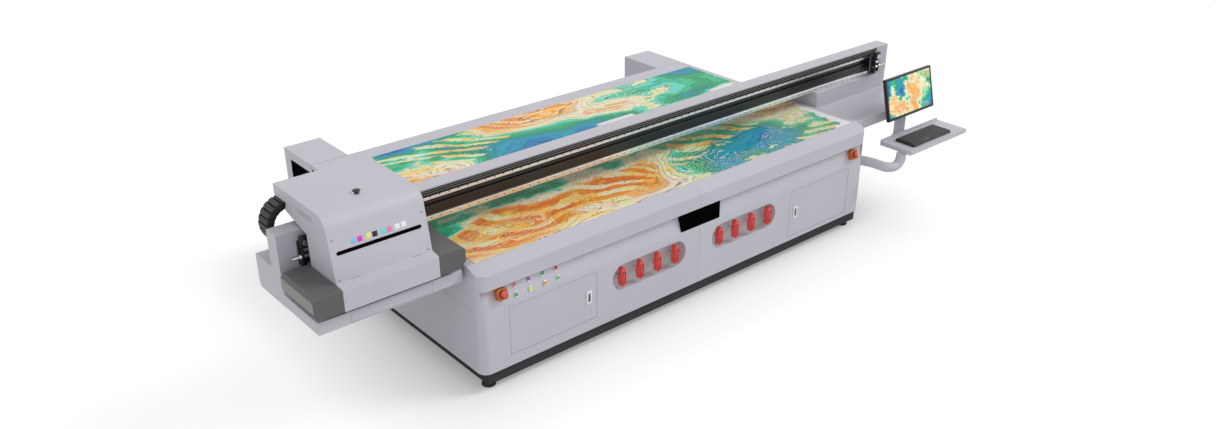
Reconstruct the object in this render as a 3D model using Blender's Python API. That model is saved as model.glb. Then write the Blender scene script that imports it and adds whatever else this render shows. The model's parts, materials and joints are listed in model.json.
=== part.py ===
"""Flatbed UV printer: bed with covers, travelling gantry, printing carriage and operator console.

Metres, +Z up. X runs along the bed from the station side, Y from the operator's side to the rear.
The last lines centre the finished machine on its footprint.
"""

import bmesh
import bpy
from math import atan2, cos, pi, radians, sin
from mathutils import Matrix, Vector

# Bed
BED_LENGTH = 3.2
BED_DEPTH = 1.837
TABLE_TOP = 0.75
TABLE_THICKNESS = 0.03
RIM = 0.104
SKIRT_BOTTOM = 0.117
SHEET_STEEL = 0.004
GAP = 0.0003
CORNER_RADIUS = 0.055
LIP_BOTTOM = 0.624
LIP_TOP = 0.714
RECESS_BOTTOM = 0.51
RECESS_DEPTH = 0.038
RECESS_MITRE = 0.045
SIDE_SLOT_BOTTOM = 0.55
WING_LENGTH = 0.256
WING_BACK = BED_DEPTH + 0.385
WING_SLOT_TOP = 0.69
WING_SLOT_REST = 0.082
SHEET_MARGIN = 0.05
SHEET_THICKNESS = 0.003
SHEET_BACK = BED_DEPTH - 0.142

# Frame
TUBE = 0.06
FRAME_BOTTOM = 0.062
RING_TOP = 0.142
DECK_TOP = SIDE_SLOT_BOTTOM
DECK_HEIGHT = 0.08
FRAME_INSET = 0.05
CROSS_Y = (0.2, 0.9, BED_DEPTH - 0.237)
RAIL_CENTRE = 0.12
RAIL_WIDTH = 0.03
RAIL_HEIGHT = 0.03
RAIL_START = 0.16
RAIL_END = BED_DEPTH + 0.343
FOOT_RADIUS = 0.04
FOOT_HEIGHT = 0.014
STEM_RADIUS = 0.012

# Front fittings
BUTTON_RADIUS = 0.012
BUTTON_PROUD = 0.008
BUTTON_BACK = 0.022
HOLE_CLEARANCE = 0.0005
BUTTON_TOP_ROW = (0.590, (0.239, 0.331, 0.426, 0.518))
BUTTON_LOW_ROW = (0.537, (0.237, 0.330, 0.426, 0.519))
ESTOP_BOX = 0.064
ESTOP_DEEP = 0.036
ESTOP_PLACES = (("left", 0.139, 0.574), ("right", BED_LENGTH - 0.137, 0.566))
ESTOP_CAP_RADIUS = 0.018
ESTOP_STEM_RADIUS = 0.010
ESTOP_STEM_DEEP = 0.020
VALVE_Z = 0.377
VALVE_HALF_HEIGHT = 0.082
VALVE_BANKS = (("left", 0.907, 1.487), ("right", 1.712, 2.292))
VALVES = (0.982, 1.121, 1.260, 1.403, 1.780, 1.923, 2.069, 2.223)
POCKET_DEPTH = 0.06
HANDLE_HEIGHT = 0.122
HANDLE_WIDTH = 0.034
HANDLE_FRONT = -0.012
VALVE_STEM_RADIUS = 0.009
VALVE_STEM_FRONT = 0.022
DOORS = (("left", 0.185, 0.787, 0.185, 0.480), ("right", BED_LENGTH - 0.765, BED_LENGTH - 0.17, 0.150, 0.478))
DOOR_CLEARANCE = 0.0008
DOOR_THICKNESS = 0.003

# Gantry
BEAM_LEFT = -0.833
BEAM_RIGHT = BED_LENGTH + 0.8
BEAM_FRONT = 0.47
BEAM_BACK = 0.575
BEAM_BOTTOM = 0.85
BEAM_TOP = 1.057
BEAM_WALL = 0.004
CHANNEL_LEFT = -0.66
CHANNEL_RIGHT = BED_LENGTH + 0.66
CHANNEL_TOP = 1.035
CHANNEL_DEPTH = 0.045
X_RAIL_LEFT = -0.64
X_RAIL_RIGHT = BED_LENGTH + 0.63
X_RAIL_DEEP = 0.015
UPPER_RAIL = (0.975, 1.005)
LOWER_RAIL = (0.851, 0.879)
SIDE_CLEARANCE = 0.02
SLOT_CLEARANCE = 0.03
STATION_FRONT = 0.113
STATION_TOP = 0.735
STATION_BOTTOM = 0.665
WING_BOX_TOP = 0.732
RISER_CHAMFER = 0.015
ARM_TOP = STATION_BOTTOM - GAP
ARM_THICKNESS = 0.045
ARM_REACH = 0.4
ARM_FRONT = 0.42
ARM_BACK = 0.62
BLOCK_WIDTH = 0.07
BLOCK_LENGTH = 0.06
BLOCK_DROP = 0.027
TROUGH_LEFT = -0.72
TROUGH_BACK = 0.764
TROUGH_BOTTOM = BEAM_BOTTOM
TROUGH_FLOOR = 0.8937
TROUGH_TOP = 0.915
TROUGH_WALL = 0.005

# Cable chain
CHAIN_FRONT = 0.625
CHAIN_BACK = 0.73
CHAIN_LINK = 0.04
CHAIN_RADIUS = 0.127
CHAIN_X = -0.679
CHAIN_FIXED_X = 1.60
CHAIN_HOOD_X = -0.25

# Carriage
HOOD_LEFT = -0.703
HOOD_RIGHT = -0.170
HOOD_WALL = 0.004
HOOD_BOTTOM = 0.762
HOOD_FRONT = 0.078
LEDGE_Z = 0.88
ROOF_Z = 1.213
ROOF_BACK = 0.73
ROOF_RADIUS = 0.09
PLATE = (-0.60, 0.4403, 0.87, -0.27, BEAM_FRONT + CHANNEL_DEPTH - X_RAIL_DEEP - 2 * GAP, 1.0)
HEAD = (-0.62, 0.20, 0.785, -0.26, 0.44, 0.98)
HEAD_PLATE_Z = 1.040
LAMP_WIDTH = 0.155
LAMP_FRONT = 0.075
LAMP_BACK = 0.42
LAMP_BOTTOM = 0.765
LAMP_TOP = 0.885
LAMP_CHAMFER = 0.035
KNOB_X = -0.44
KNOB_Y = 0.357
KNOB_RADIUS = 0.02
KNOB_STEM = 0.007

# Console
PIVOT = (BED_LENGTH + 0.05, 0.14)
BARREL_RADIUS = 0.03
BARREL_Z = (0.4053, 0.4747)
LUG = 0.012
ARM_RADIUS = 0.034
ARM_RUN = ((0, 0), (0.028, -0.045), (0.052, -0.10), (0.062, -0.15), (0.064, -0.22))
ARM_TURN = 0.05
ARM_LEVEL = 0.021
ARM_RISE = 0.055
ARM_Z = 0.44
SHELF = (BED_LENGTH + 0.25, -0.20, 0.52, BED_LENGTH + 0.92, 0.058, 0.55)
SHELF_LIP = 0.012
NECK = (BED_LENGTH + 0.44, BED_LENGTH + 0.56)
NECK_BACK = 0.092
NECK_THICKNESS = 0.012
NECK_TOP = 0.87
KEYBOARD = (BED_LENGTH + 0.33, -0.168, BED_LENGTH + 0.77, -0.008)
KEYBOARD_HEIGHT = 0.018
TILT_Y = 0.080
TILT_Z = 0.85
TILT_RADIUS = 0.012
EAR = 0.02
MONITOR_WIDTH = 0.525
MONITOR_LOW = 0.155
MONITOR_HIGH = 0.142
MONITOR_THICKNESS = 0.022
MONITOR_SETBACK = 0.047
MONITOR_TILT = radians(-14)

SIDES = 20


def clear_scene():
    for obj in list(bpy.data.objects):
        bpy.data.objects.remove(obj, do_unlink=True)


def finish(name, color, roughness=0.45, metallic=0.0):
    material = bpy.data.materials.new(name)
    material.use_nodes = True
    shader = material.node_tree.nodes["Principled BSDF"]
    shader.inputs["Base Color"].default_value = (*color, 1.0)
    shader.inputs["Roughness"].default_value = roughness
    shader.inputs["Metallic"].default_value = metallic
    return material


def add(name, bm, material=None):
    bmesh.ops.recalc_face_normals(bm, faces=bm.faces)
    mesh = bpy.data.meshes.new(name)
    bm.to_mesh(mesh)
    bm.free()
    obj = bpy.data.objects.new(name, mesh)
    bpy.context.scene.collection.objects.link(obj)
    if material:
        mesh.materials.append(material)
    return obj


def box(low_high):
    """A box from its low corner and high corner, given as six numbers."""
    low, high = Vector(low_high[:3]), Vector(low_high[3:])
    bm = bmesh.new()
    bmesh.ops.create_cube(bm, size=1.0)
    place = Matrix.Translation((low + high) / 2) @ Matrix.Diagonal((*(high - low), 1.0))
    bmesh.ops.transform(bm, matrix=place, verts=bm.verts)
    return bm


def prism(outline, axis, start, end):
    """An outline of two coordinates, drawn out along the third axis."""
    order = {"X": lambda a, b, t: (t, a, b), "Y": lambda a, b, t: (a, t, b), "Z": lambda a, b, t: (a, b, t)}[axis]
    bm = bmesh.new()
    rings = [[bm.verts.new(order(a, b, t)) for a, b in outline] for t in (start, end)]
    bm.faces.new(rings[0])
    bm.faces.new(list(reversed(rings[1])))
    count = len(outline)
    for i in range(count):
        j = (i + 1) % count
        bm.faces.new((rings[0][i], rings[1][i], rings[1][j], rings[0][j]))
    return bm


def arc(centre, radius, start, end, steps):
    """Points on an arc, angles in degrees."""
    angles = [radians(start + (end - start) * i / steps) for i in range(steps + 1)]
    return [(centre[0] + radius * cos(a), centre[1] + radius * sin(a)) for a in angles]


def disc(a, b, radius, sides=SIDES):
    return arc((a, b), radius, 0, 360 * (sides - 1) / sides, sides - 1)


def rounded(low, high, radius, steps=4):
    """A rectangle with round corners."""
    a0, b0 = low
    a1, b1 = high
    return (arc((a0 + radius, b0 + radius), radius, 180, 270, steps)
            + arc((a1 - radius, b0 + radius), radius, 270, 360, steps)
            + arc((a1 - radius, b1 - radius), radius, 0, 90, steps)
            + arc((a0 + radius, b1 - radius), radius, 90, 180, steps))


def tube(points, radius, sides=12):
    """A round tube along a list of points, with flat ends."""
    places = [Vector(p) for p in points]
    bm = bmesh.new()
    rings = []
    for i, place in enumerate(places):
        ahead = places[min(i + 1, len(places) - 1)]
        behind = places[max(i - 1, 0)]
        turn = Vector((0, 0, 1)).rotation_difference((ahead - behind).normalized())
        ring = []
        for a, b in disc(0, 0, radius, sides):
            ring.append(bm.verts.new(place + turn @ Vector((a, b, 0))))
        rings.append(ring)
    for first, second in zip(rings, rings[1:]):
        match = min(range(sides), key=lambda k: (second[k].co - first[0].co).length)
        for i in range(sides):
            j = (i + 1) % sides
            bm.faces.new((first[i], first[j], second[(j + match) % sides], second[(i + match) % sides]))
        second[:] = second[match:] + second[:match]
    bm.faces.new(rings[0])
    bm.faces.new(rings[-1])
    return bm


def combine(obj, shapes, operation):
    """Union with, or difference from, a hidden collection of shapes."""
    helpers = bpy.data.collections.new(f"{obj.name}_{operation.lower()}")
    for i, shape in enumerate(shapes):
        bmesh.ops.recalc_face_normals(shape, faces=shape.faces)
        mesh = bpy.data.meshes.new("helper")
        shape.to_mesh(mesh)
        shape.free()
        helper = bpy.data.objects.new(f"{obj.name}_{operation.lower()}_{i}", mesh)
        helper.hide_render = True
        helper.display_type = "WIRE"
        helper.parent = obj
        helpers.objects.link(helper)
    bpy.context.scene.collection.children.link(helpers)
    modifier = obj.modifiers.new(operation.title(), "BOOLEAN")
    modifier.operation = operation
    modifier.operand_type = "COLLECTION"
    modifier.collection = helpers
    modifier.solver = "EXACT"
    return obj


def weld(obj, *shapes):
    return combine(obj, shapes, "UNION")


def cut(obj, *shapes):
    return combine(obj, shapes, "DIFFERENCE")


def smooth(obj, angle=35):
    obj.data.shade_smooth()
    obj.data.set_sharp_from_angle(angle=radians(angle))
    return obj


def mirrored(x):
    return BED_LENGTH - x


def span(first, second):
    return min(first, second), max(first, second)


RECESS_SLOPE = atan2(RECESS_DEPTH, LIP_BOTTOM - RECESS_BOTTOM)


def recess_place(x, z):
    """A point on the slanted face under the lip."""
    share = (z - RECESS_BOTTOM) / (LIP_BOTTOM - RECESS_BOTTOM)
    return Matrix.Translation((x, RECESS_DEPTH * share, z)) @ Matrix.Rotation(-RECESS_SLOPE, 4, "X")


def turned(shape, matrix):
    bmesh.ops.transform(shape, matrix=matrix, verts=shape.verts)
    return shape


def button_places():
    for z, row in (BUTTON_TOP_ROW, BUTTON_LOW_ROW):
        for x in row:
            yield x, z


def make_frame(steel):
    left, right = FRAME_INSET, BED_LENGTH - FRAME_INSET
    front, back = FRAME_INSET, BED_DEPTH - FRAME_INSET
    middle = BED_LENGTH / 2
    half = TUBE / 2
    deck_low = DECK_TOP - DECK_HEIGHT
    frame = add("base_frame", box((left, front, FRAME_BOTTOM, right, front + TUBE, RING_TOP)), steel)
    parts = [box((left, back - TUBE, FRAME_BOTTOM, right, back, RING_TOP))]
    for x in (left, middle - half, right - TUBE):
        parts.append(box((x, front + half, FRAME_BOTTOM, x + TUBE, back - half, RING_TOP - 0.001)))
    table_low = TABLE_TOP - TABLE_THICKNESS - GAP
    inner = RAIL_CENTRE + 0.13
    for y in CROSS_Y:
        parts.append(box((RAIL_CENTRE, y - half, deck_low, mirrored(RAIL_CENTRE), y + half, DECK_TOP - 0.001)))
        parts.append(box((inner, y - half, table_low - DECK_HEIGHT, mirrored(inner), y + half, table_low)))
        for x in (left + half, middle, right - half):
            parts.append(box((x - half + 0.002, y - half + 0.002, RING_TOP - 0.02,
                              x + half - 0.002, y + half - 0.002, deck_low + 0.02)))
        for x in (inner + half + 0.01, middle, mirrored(inner) - half - 0.01):
            parts.append(box((x - half + 0.004, y - half + 0.004, DECK_TOP - 0.02,
                              x + half - 0.004, y + half - 0.004, table_low - DECK_HEIGHT + 0.02)))
    for x in (RAIL_CENTRE, mirrored(RAIL_CENTRE)):
        parts.append(box((x - half, RAIL_START - 0.01, deck_low, x + half, RAIL_END + 0.01, DECK_TOP)))
    weld(frame, *parts)


def make_feet(rubber):
    half = FRAME_INSET + TUBE / 2
    for side, x in (("left", half), ("right", mirrored(half))):
        for end, y in (("front", half), ("rear", BED_DEPTH - half)):
            foot = add(f"foot_{end}_{side}", prism(disc(x, y, FOOT_RADIUS), "Z", 0, FOOT_HEIGHT), rubber)
            weld(foot, prism(disc(x, y, STEM_RADIUS, 12), "Z", FOOT_HEIGHT / 2, FRAME_BOTTOM - GAP))


def front_outline(t):
    """Section of the front cover, drawn in by t from its outer skin."""
    return [(t, SKIRT_BOTTOM if t == 0 else SKIRT_BOTTOM - 0.01), (t, RECESS_BOTTOM),
            (RECESS_DEPTH + t if t else 0, LIP_BOTTOM), (RECESS_DEPTH + t if t else 0, LIP_BOTTOM + t),
            (t, LIP_BOTTOM + t), (t, LIP_TOP - t / 2), (RIM - t / 2, TABLE_TOP - t),
            (RIM if t == 0 else RIM + 0.02, TABLE_TOP - t),
            (RIM if t == 0 else RIM + 0.02, SKIRT_BOTTOM if t == 0 else SKIRT_BOTTOM - 0.01)]


def unique(points):
    kept = []
    for point in points:
        if not kept or (Vector(point) - Vector(kept[-1])).length > 1e-6:
            kept.append(point)
    return kept


def corner_outline(inset, back):
    """Plan of the front cover with its two round corners."""
    radius = CORNER_RADIUS - inset
    low, high = CORNER_RADIUS, BED_LENGTH - CORNER_RADIUS
    return ([(inset, back)] + arc((low, CORNER_RADIUS), radius, 180, 270, 6)
            + arc((high, CORNER_RADIUS), radius, 270, 360, 6) + [(BED_LENGTH - inset, back)])


def make_front(paint):
    low, high = SKIRT_BOTTOM - 0.02, TABLE_TOP + 0.02
    cover = add("front_cover", prism(unique(front_outline(0)), "X", 0, BED_LENGTH), paint)
    clip = cover.modifiers.new("Corners", "BOOLEAN")
    clip.operation = "INTERSECT"
    clip.solver = "EXACT"
    clip.object = add("front_corners", prism(corner_outline(0, RIM + 0.01), "Z", low, high))
    inner = add("front_inner", prism(unique(front_outline(SHEET_STEEL)), "X", SHEET_STEEL / 2,
                                     BED_LENGTH - SHEET_STEEL / 2))
    inner_clip = inner.modifiers.new("Corners", "BOOLEAN")
    inner_clip.operation = "INTERSECT"
    inner_clip.solver = "EXACT"
    inner_clip.object = add("front_inner_corners",
                            prism(corner_outline(SHEET_STEEL, RIM + 0.04), "Z", low, high))
    hollow = cover.modifiers.new("Hollow", "BOOLEAN")
    hollow.operation = "DIFFERENCE"
    hollow.solver = "EXACT"
    hollow.object = inner
    for helper in (clip.object, inner, inner_clip.object):
        helper.hide_render = True
        helper.display_type = "WIRE"
    cutters = [recess_cutter()]
    for x, z in button_places():
        hole = prism(disc(0, 0, BUTTON_RADIUS + HOLE_CLEARANCE), "Y", -0.03, 0.03)
        cutters.append(turned(hole, recess_place(x, z)))
    for _, x0, x1 in VALVE_BANKS:
        cutters.append(stadium(x0, x1, VALVE_HALF_HEIGHT, -0.01, SHEET_STEEL + 0.01))
    for _, x0, x1, z0, z1 in DOORS:
        c = DOOR_CLEARANCE
        cutters.append(box((x0 - c, -0.01, z0 - c, x1 + c, SHEET_STEEL + 0.01, z1 + c)))
    cut(cover, *cutters)


def recess_cutter():
    """A wedge with mitred ends: full length at the lip, shorter at the foot."""
    bm = bmesh.new()
    top, foot = 0.012, RECESS_MITRE
    out = -0.01
    rows = [(top, out, LIP_BOTTOM), (mirrored(top), out, LIP_BOTTOM),
            (mirrored(top), RECESS_DEPTH, LIP_BOTTOM), (top, RECESS_DEPTH, LIP_BOTTOM),
            (foot, out, RECESS_BOTTOM), (mirrored(foot), out, RECESS_BOTTOM),
            (mirrored(foot), 0, RECESS_BOTTOM), (foot, 0, RECESS_BOTTOM)]
    verts = [bm.verts.new(p) for p in rows]
    for face in ((0, 1, 2, 3), (4, 7, 6, 5), (0, 4, 5, 1), (1, 5, 6, 2), (2, 6, 7, 3), (3, 7, 4, 0)):
        bm.faces.new([verts[i] for i in face])
    return bm


def stadium(x0, x1, half, y0, y1):
    outline = rounded((x0, VALVE_Z - half), (x1, VALVE_Z + half), half - 1e-4, 8)
    return prism(outline, "Y", y0, y1)


def make_pockets(steel):
    back = POCKET_DEPTH
    for side, x0, x1 in VALVE_BANKS:
        front = SHEET_STEEL + GAP
        grow = SHEET_STEEL
        pocket = add(f"valve_pocket_{side}",
                     stadium(x0 - grow, x1 + grow, VALVE_HALF_HEIGHT + grow, front, back), steel)
        cut(pocket, stadium(x0, x1, VALVE_HALF_HEIGHT, front - 0.01, back - SHEET_STEEL))
        stems = []
        for x in VALVES:
            if x0 < x < x1:
                outline = disc(x, VALVE_Z, VALVE_STEM_RADIUS, 12)
                stems.append(prism(outline, "Y", VALVE_STEM_FRONT, back - SHEET_STEEL / 2))
        weld(pocket, *stems)


def make_handles(red):
    for i, x in enumerate(VALVES):
        half = HANDLE_HEIGHT / 2
        outline = rounded((-HANDLE_WIDTH / 2, -half), (HANDLE_WIDTH / 2, half), HANDLE_WIDTH * 0.45, 4)
        back = VALVE_STEM_FRONT - GAP
        handle = add(f"valve_handle_{i + 1}", prism(outline, "Y", HANDLE_FRONT, back), red)
        handle.location = (x, 0, VALVE_Z)
        grips = [box((side * 0.009 - 0.0045, HANDLE_FRONT - 0.01, -half - 0.01,
                      side * 0.009 + 0.0045, HANDLE_FRONT + 0.012, half * 0.55)) for side in (-1, 1)]
        cut(handle, *grips)


def make_doors(paint):
    for side, x0, x1, z0, z1 in DOORS:
        hinge = x0 if side == "left" else x1
        low, high = span(x0 - hinge, x1 - hinge)
        door = add(f"door_{side}", box((low, 0, 0, high, DOOR_THICKNESS, z1 - z0)), paint)
        door.location = (hinge, 0, z0)


def make_buttons(colours):
    for i, (x, z) in enumerate(button_places()):
        cap = prism(disc(0, 0, BUTTON_RADIUS), "Y", -BUTTON_PROUD, BUTTON_BACK)
        button = smooth(add(f"push_button_{i + 1}", cap, colours[i]))
        button.matrix_world = recess_place(x, z)


def make_estops(orange, red):
    for side, x, z in ESTOP_PLACES:
        half = ESTOP_BOX / 2
        body = prism(rounded((-half, -half), (half, half), 0.012), "Y", -ESTOP_DEEP, -GAP)
        holder = add(f"estop_box_{side}", body, orange)
        hole = prism(disc(0, 0, ESTOP_STEM_RADIUS + HOLE_CLEARANCE), "Y", -ESTOP_DEEP - 0.01,
                     -ESTOP_DEEP + ESTOP_STEM_DEEP + 0.01)
        cut(holder, hole)
        cap = prism(disc(0, 0, ESTOP_CAP_RADIUS), "Y", -ESTOP_DEEP - 0.018, -ESTOP_DEEP - 0.006)
        button = smooth(add(f"estop_button_{side}", cap, red))
        weld(button, prism(disc(0, 0, ESTOP_STEM_RADIUS), "Y", -ESTOP_DEEP - 0.010,
                           -ESTOP_DEEP + ESTOP_STEM_DEEP - 0.006))
        for obj in (holder, button):
            obj.matrix_world = recess_place(x, z)


def make_covers(paint):
    back = BED_DEPTH - GAP
    left = (0, RIM + GAP, SKIRT_BOTTOM, SHEET_STEEL, back, SIDE_SLOT_BOTTOM)
    right = (BED_LENGTH - SHEET_STEEL, RIM + GAP, SKIRT_BOTTOM, BED_LENGTH, back, SIDE_SLOT_BOTTOM)
    tab_top = TABLE_TOP - TABLE_THICKNESS - GAP
    tab = (RIM + GAP, SIDE_SLOT_BOTTOM - 0.01, ARM_FRONT - SLOT_CLEARANCE, tab_top)
    weld(add("left_cover", box(left), paint), box((0, tab[0], tab[1], SHEET_STEEL, tab[2], tab[3])))
    cover = add("right_cover", box(right), paint)
    reach = BED_LENGTH - SHEET_STEEL / 2
    lugs = [prism(rounded((reach, PIVOT[1] - BARREL_RADIUS), (PIVOT[0] + BARREL_RADIUS, PIVOT[1] + BARREL_RADIUS),
                          0.012), "Z", z0, z1)
            for z0, z1 in ((BARREL_Z[0] - GAP - LUG, BARREL_Z[0] - GAP), (BARREL_Z[1] + GAP, BARREL_Z[1] + GAP + LUG))]
    weld(cover, box((BED_LENGTH - SHEET_STEEL, tab[0], tab[1], BED_LENGTH, tab[2], tab[3])), *lugs)
    rear = (WING_LENGTH + GAP, BED_DEPTH - SHEET_STEEL, SKIRT_BOTTOM, mirrored(WING_LENGTH) - GAP, BED_DEPTH,
            TABLE_TOP)
    add("rear_cover", box(rear), paint)
    for side in ("left", "right"):
        flip = (lambda x: x) if side == "left" else mirrored
        t = SHEET_STEEL

        def slab(x0, x1, y0, y1, z0, z1):
            low, high = span(flip(x0), flip(x1))
            return box((low, y0, z0, high, y1, z1))

        wing = add(f"rear_wing_{side}", slab(0, WING_LENGTH, BED_DEPTH + GAP, WING_BACK, SKIRT_BOTTOM, TABLE_TOP),
                   paint)
        cut(wing,
            slab(t, WING_LENGTH - t, BED_DEPTH - 0.01, WING_BACK - t, SKIRT_BOTTOM - 0.01, TABLE_TOP - t),
            slab(-0.01, t + 0.01, BED_DEPTH - 0.01, WING_BACK - WING_SLOT_REST, SIDE_SLOT_BOTTOM, WING_SLOT_TOP))


def make_table(aluminium, print_white):
    back = BED_DEPTH - SHEET_STEEL - GAP
    low = TABLE_TOP - TABLE_THICKNESS
    add("vacuum_table", box((0, RIM + GAP, low, BED_LENGTH, back, TABLE_TOP)), aluminium)
    sheet = (SHEET_MARGIN, RIM + 2 * GAP, TABLE_TOP + GAP, BED_LENGTH - SHEET_MARGIN, SHEET_BACK,
             TABLE_TOP + GAP + SHEET_THICKNESS)
    add("printed_sheet", box(sheet), print_white)


def make_y_rails(steel):
    low = DECK_TOP + GAP
    for side, x in (("left", RAIL_CENTRE), ("right", mirrored(RAIL_CENTRE))):
        half = RAIL_WIDTH / 2
        add(f"y_rail_{side}", box((x - half, RAIL_START, low, x + half, RAIL_END, low + RAIL_HEIGHT)), steel)


def make_beam(paint, steel):
    beam = add("beam", box((BEAM_LEFT, BEAM_FRONT, BEAM_BOTTOM, BEAM_RIGHT, BEAM_BACK, BEAM_TOP)), paint)
    floor = BEAM_FRONT + CHANNEL_DEPTH
    t = BEAM_WALL
    cut(beam,
        box((CHANNEL_LEFT, BEAM_FRONT - 0.01, BEAM_BOTTOM - 0.01, CHANNEL_RIGHT, floor, CHANNEL_TOP)),
        box((BEAM_LEFT + t, floor + t, BEAM_BOTTOM + t, BEAM_RIGHT - t, BEAM_BACK - t, BEAM_TOP - t)),
        box((BEAM_LEFT + 0.3, floor + 0.015, BEAM_BOTTOM - 0.01, BEAM_LEFT + 0.5, BEAM_BACK - 0.015,
             BEAM_BOTTOM + 0.02)))
    front = floor - GAP - X_RAIL_DEEP
    for name, (low, high) in (("rail_upper", UPPER_RAIL), ("rail_lower", LOWER_RAIL)):
        add(name, box((X_RAIL_LEFT, front, low, X_RAIL_RIGHT, floor - GAP, high)), steel)


def riser(name, x0, x1, top, paint):
    """A side box under the beam's end: low in front, and up to the beam and the trough at the back."""
    low = STATION_BOTTOM
    head = BEAM_BOTTOM - GAP
    back = TROUGH_BACK
    c = RISER_CHAMFER
    outline = [(STATION_FRONT, low), (back - c, low), (back, low + c), (back, head), (BEAM_FRONT, head),
               (BEAM_FRONT, top), (STATION_FRONT, top)]
    t = BEAM_WALL
    below = 0.01
    hollow = [(BEAM_FRONT + t, low - below), (back - t - c - below, low - below), (back - t, low + c),
              (back - t, head - t), (BEAM_FRONT + t, head - t)]
    middle = ARM_FRONT - 0.014
    vent = (x0 + 0.1, STATION_FRONT + 0.05, low - below, x0 + 0.2, STATION_FRONT + 0.15, low + 0.02)
    cut(add(name, prism(outline, "X", x0, x1), paint), prism(hollow, "X", x0 + t, x1 - t),
        box((x0 + t, STATION_FRONT + t, low + 0.012, x1 - t, middle, top - t)), box(vent))


def make_gantry_sides(paint, steel):
    left_edge = -SIDE_CLEARANCE
    right_edge = BED_LENGTH + SIDE_CLEARANCE
    riser("station_tray", BEAM_LEFT, left_edge, STATION_TOP, paint)
    riser("right_wing", right_edge, BEAM_RIGHT, WING_BOX_TOP, paint)
    for side in ("left", "right"):
        flip = (lambda x: x) if side == "left" else mirrored

        def slab(x0, x1, y0, y1, z0, z1):
            low, high = span(flip(x0), flip(x1))
            return box((low, y0, z0, high, y1, z1))

        inner = RAIL_CENTRE + BLOCK_WIDTH / 2
        low = ARM_TOP - ARM_THICKNESS
        arm = add(f"gantry_arm_{side}", slab(-ARM_REACH, inner, ARM_FRONT, ARM_BACK, low, ARM_TOP), steel)
        weld(arm, *[slab(inner - BLOCK_WIDTH, inner - 0.001, y, y + BLOCK_LENGTH,
                         DECK_TOP + GAP + RAIL_HEIGHT - BLOCK_DROP, low + 0.01)
                    for y in (ARM_FRONT + 0.01, ARM_BACK - 0.01 - BLOCK_LENGTH)])
        half = RAIL_WIDTH / 2 + GAP
        cut(arm, slab(RAIL_CENTRE - half, RAIL_CENTRE + half, ARM_FRONT - 0.01, ARM_BACK + 0.01,
                      DECK_TOP, DECK_TOP + RAIL_HEIGHT + 2 * GAP))


def make_trough(paint):
    y0, y1 = BEAM_BACK + GAP, TROUGH_BACK
    t = TROUGH_WALL
    outline = [(y0, TROUGH_BOTTOM), (y0 + t, TROUGH_BOTTOM), (y0 + t, TROUGH_FLOOR - t), (y1 - t, TROUGH_FLOOR - t),
               (y1 - t, TROUGH_BOTTOM), (y1, TROUGH_BOTTOM), (y1, TROUGH_TOP), (y1 - t, TROUGH_TOP),
               (y1 - t, TROUGH_FLOOR), (y0 + t, TROUGH_FLOOR), (y0 + t, TROUGH_TOP), (y0, TROUGH_TOP)]
    add("chain_trough", prism(outline, "X", TROUGH_LEFT, BEAM_RIGHT), paint)


def make_chain(plastic):
    """A lower run in the trough, a half turn at the station end and an upper run into the hood."""
    centre_z = TROUGH_FLOOR + GAP + CHAIN_RADIUS
    low = centre_z - CHAIN_RADIUS
    high = centre_z + CHAIN_RADIUS
    link = CHAIN_LINK
    lower = (CHAIN_X + GAP, CHAIN_FRONT, low, CHAIN_FIXED_X, CHAIN_BACK, low + link)
    upper = (CHAIN_X + GAP, CHAIN_FRONT, high - link, CHAIN_HOOD_X, CHAIN_BACK, high)
    add("chain_lower", box(lower), plastic)
    add("chain_upper", box(upper), plastic)
    outside = arc((CHAIN_X, centre_z), CHAIN_RADIUS, 90, 270, 16)
    inside = arc((CHAIN_X, centre_z), CHAIN_RADIUS - link, 270, 90, 16)
    add("chain_bend", prism(outside + inside, "Y", CHAIN_FRONT, CHAIN_BACK), plastic)


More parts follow.
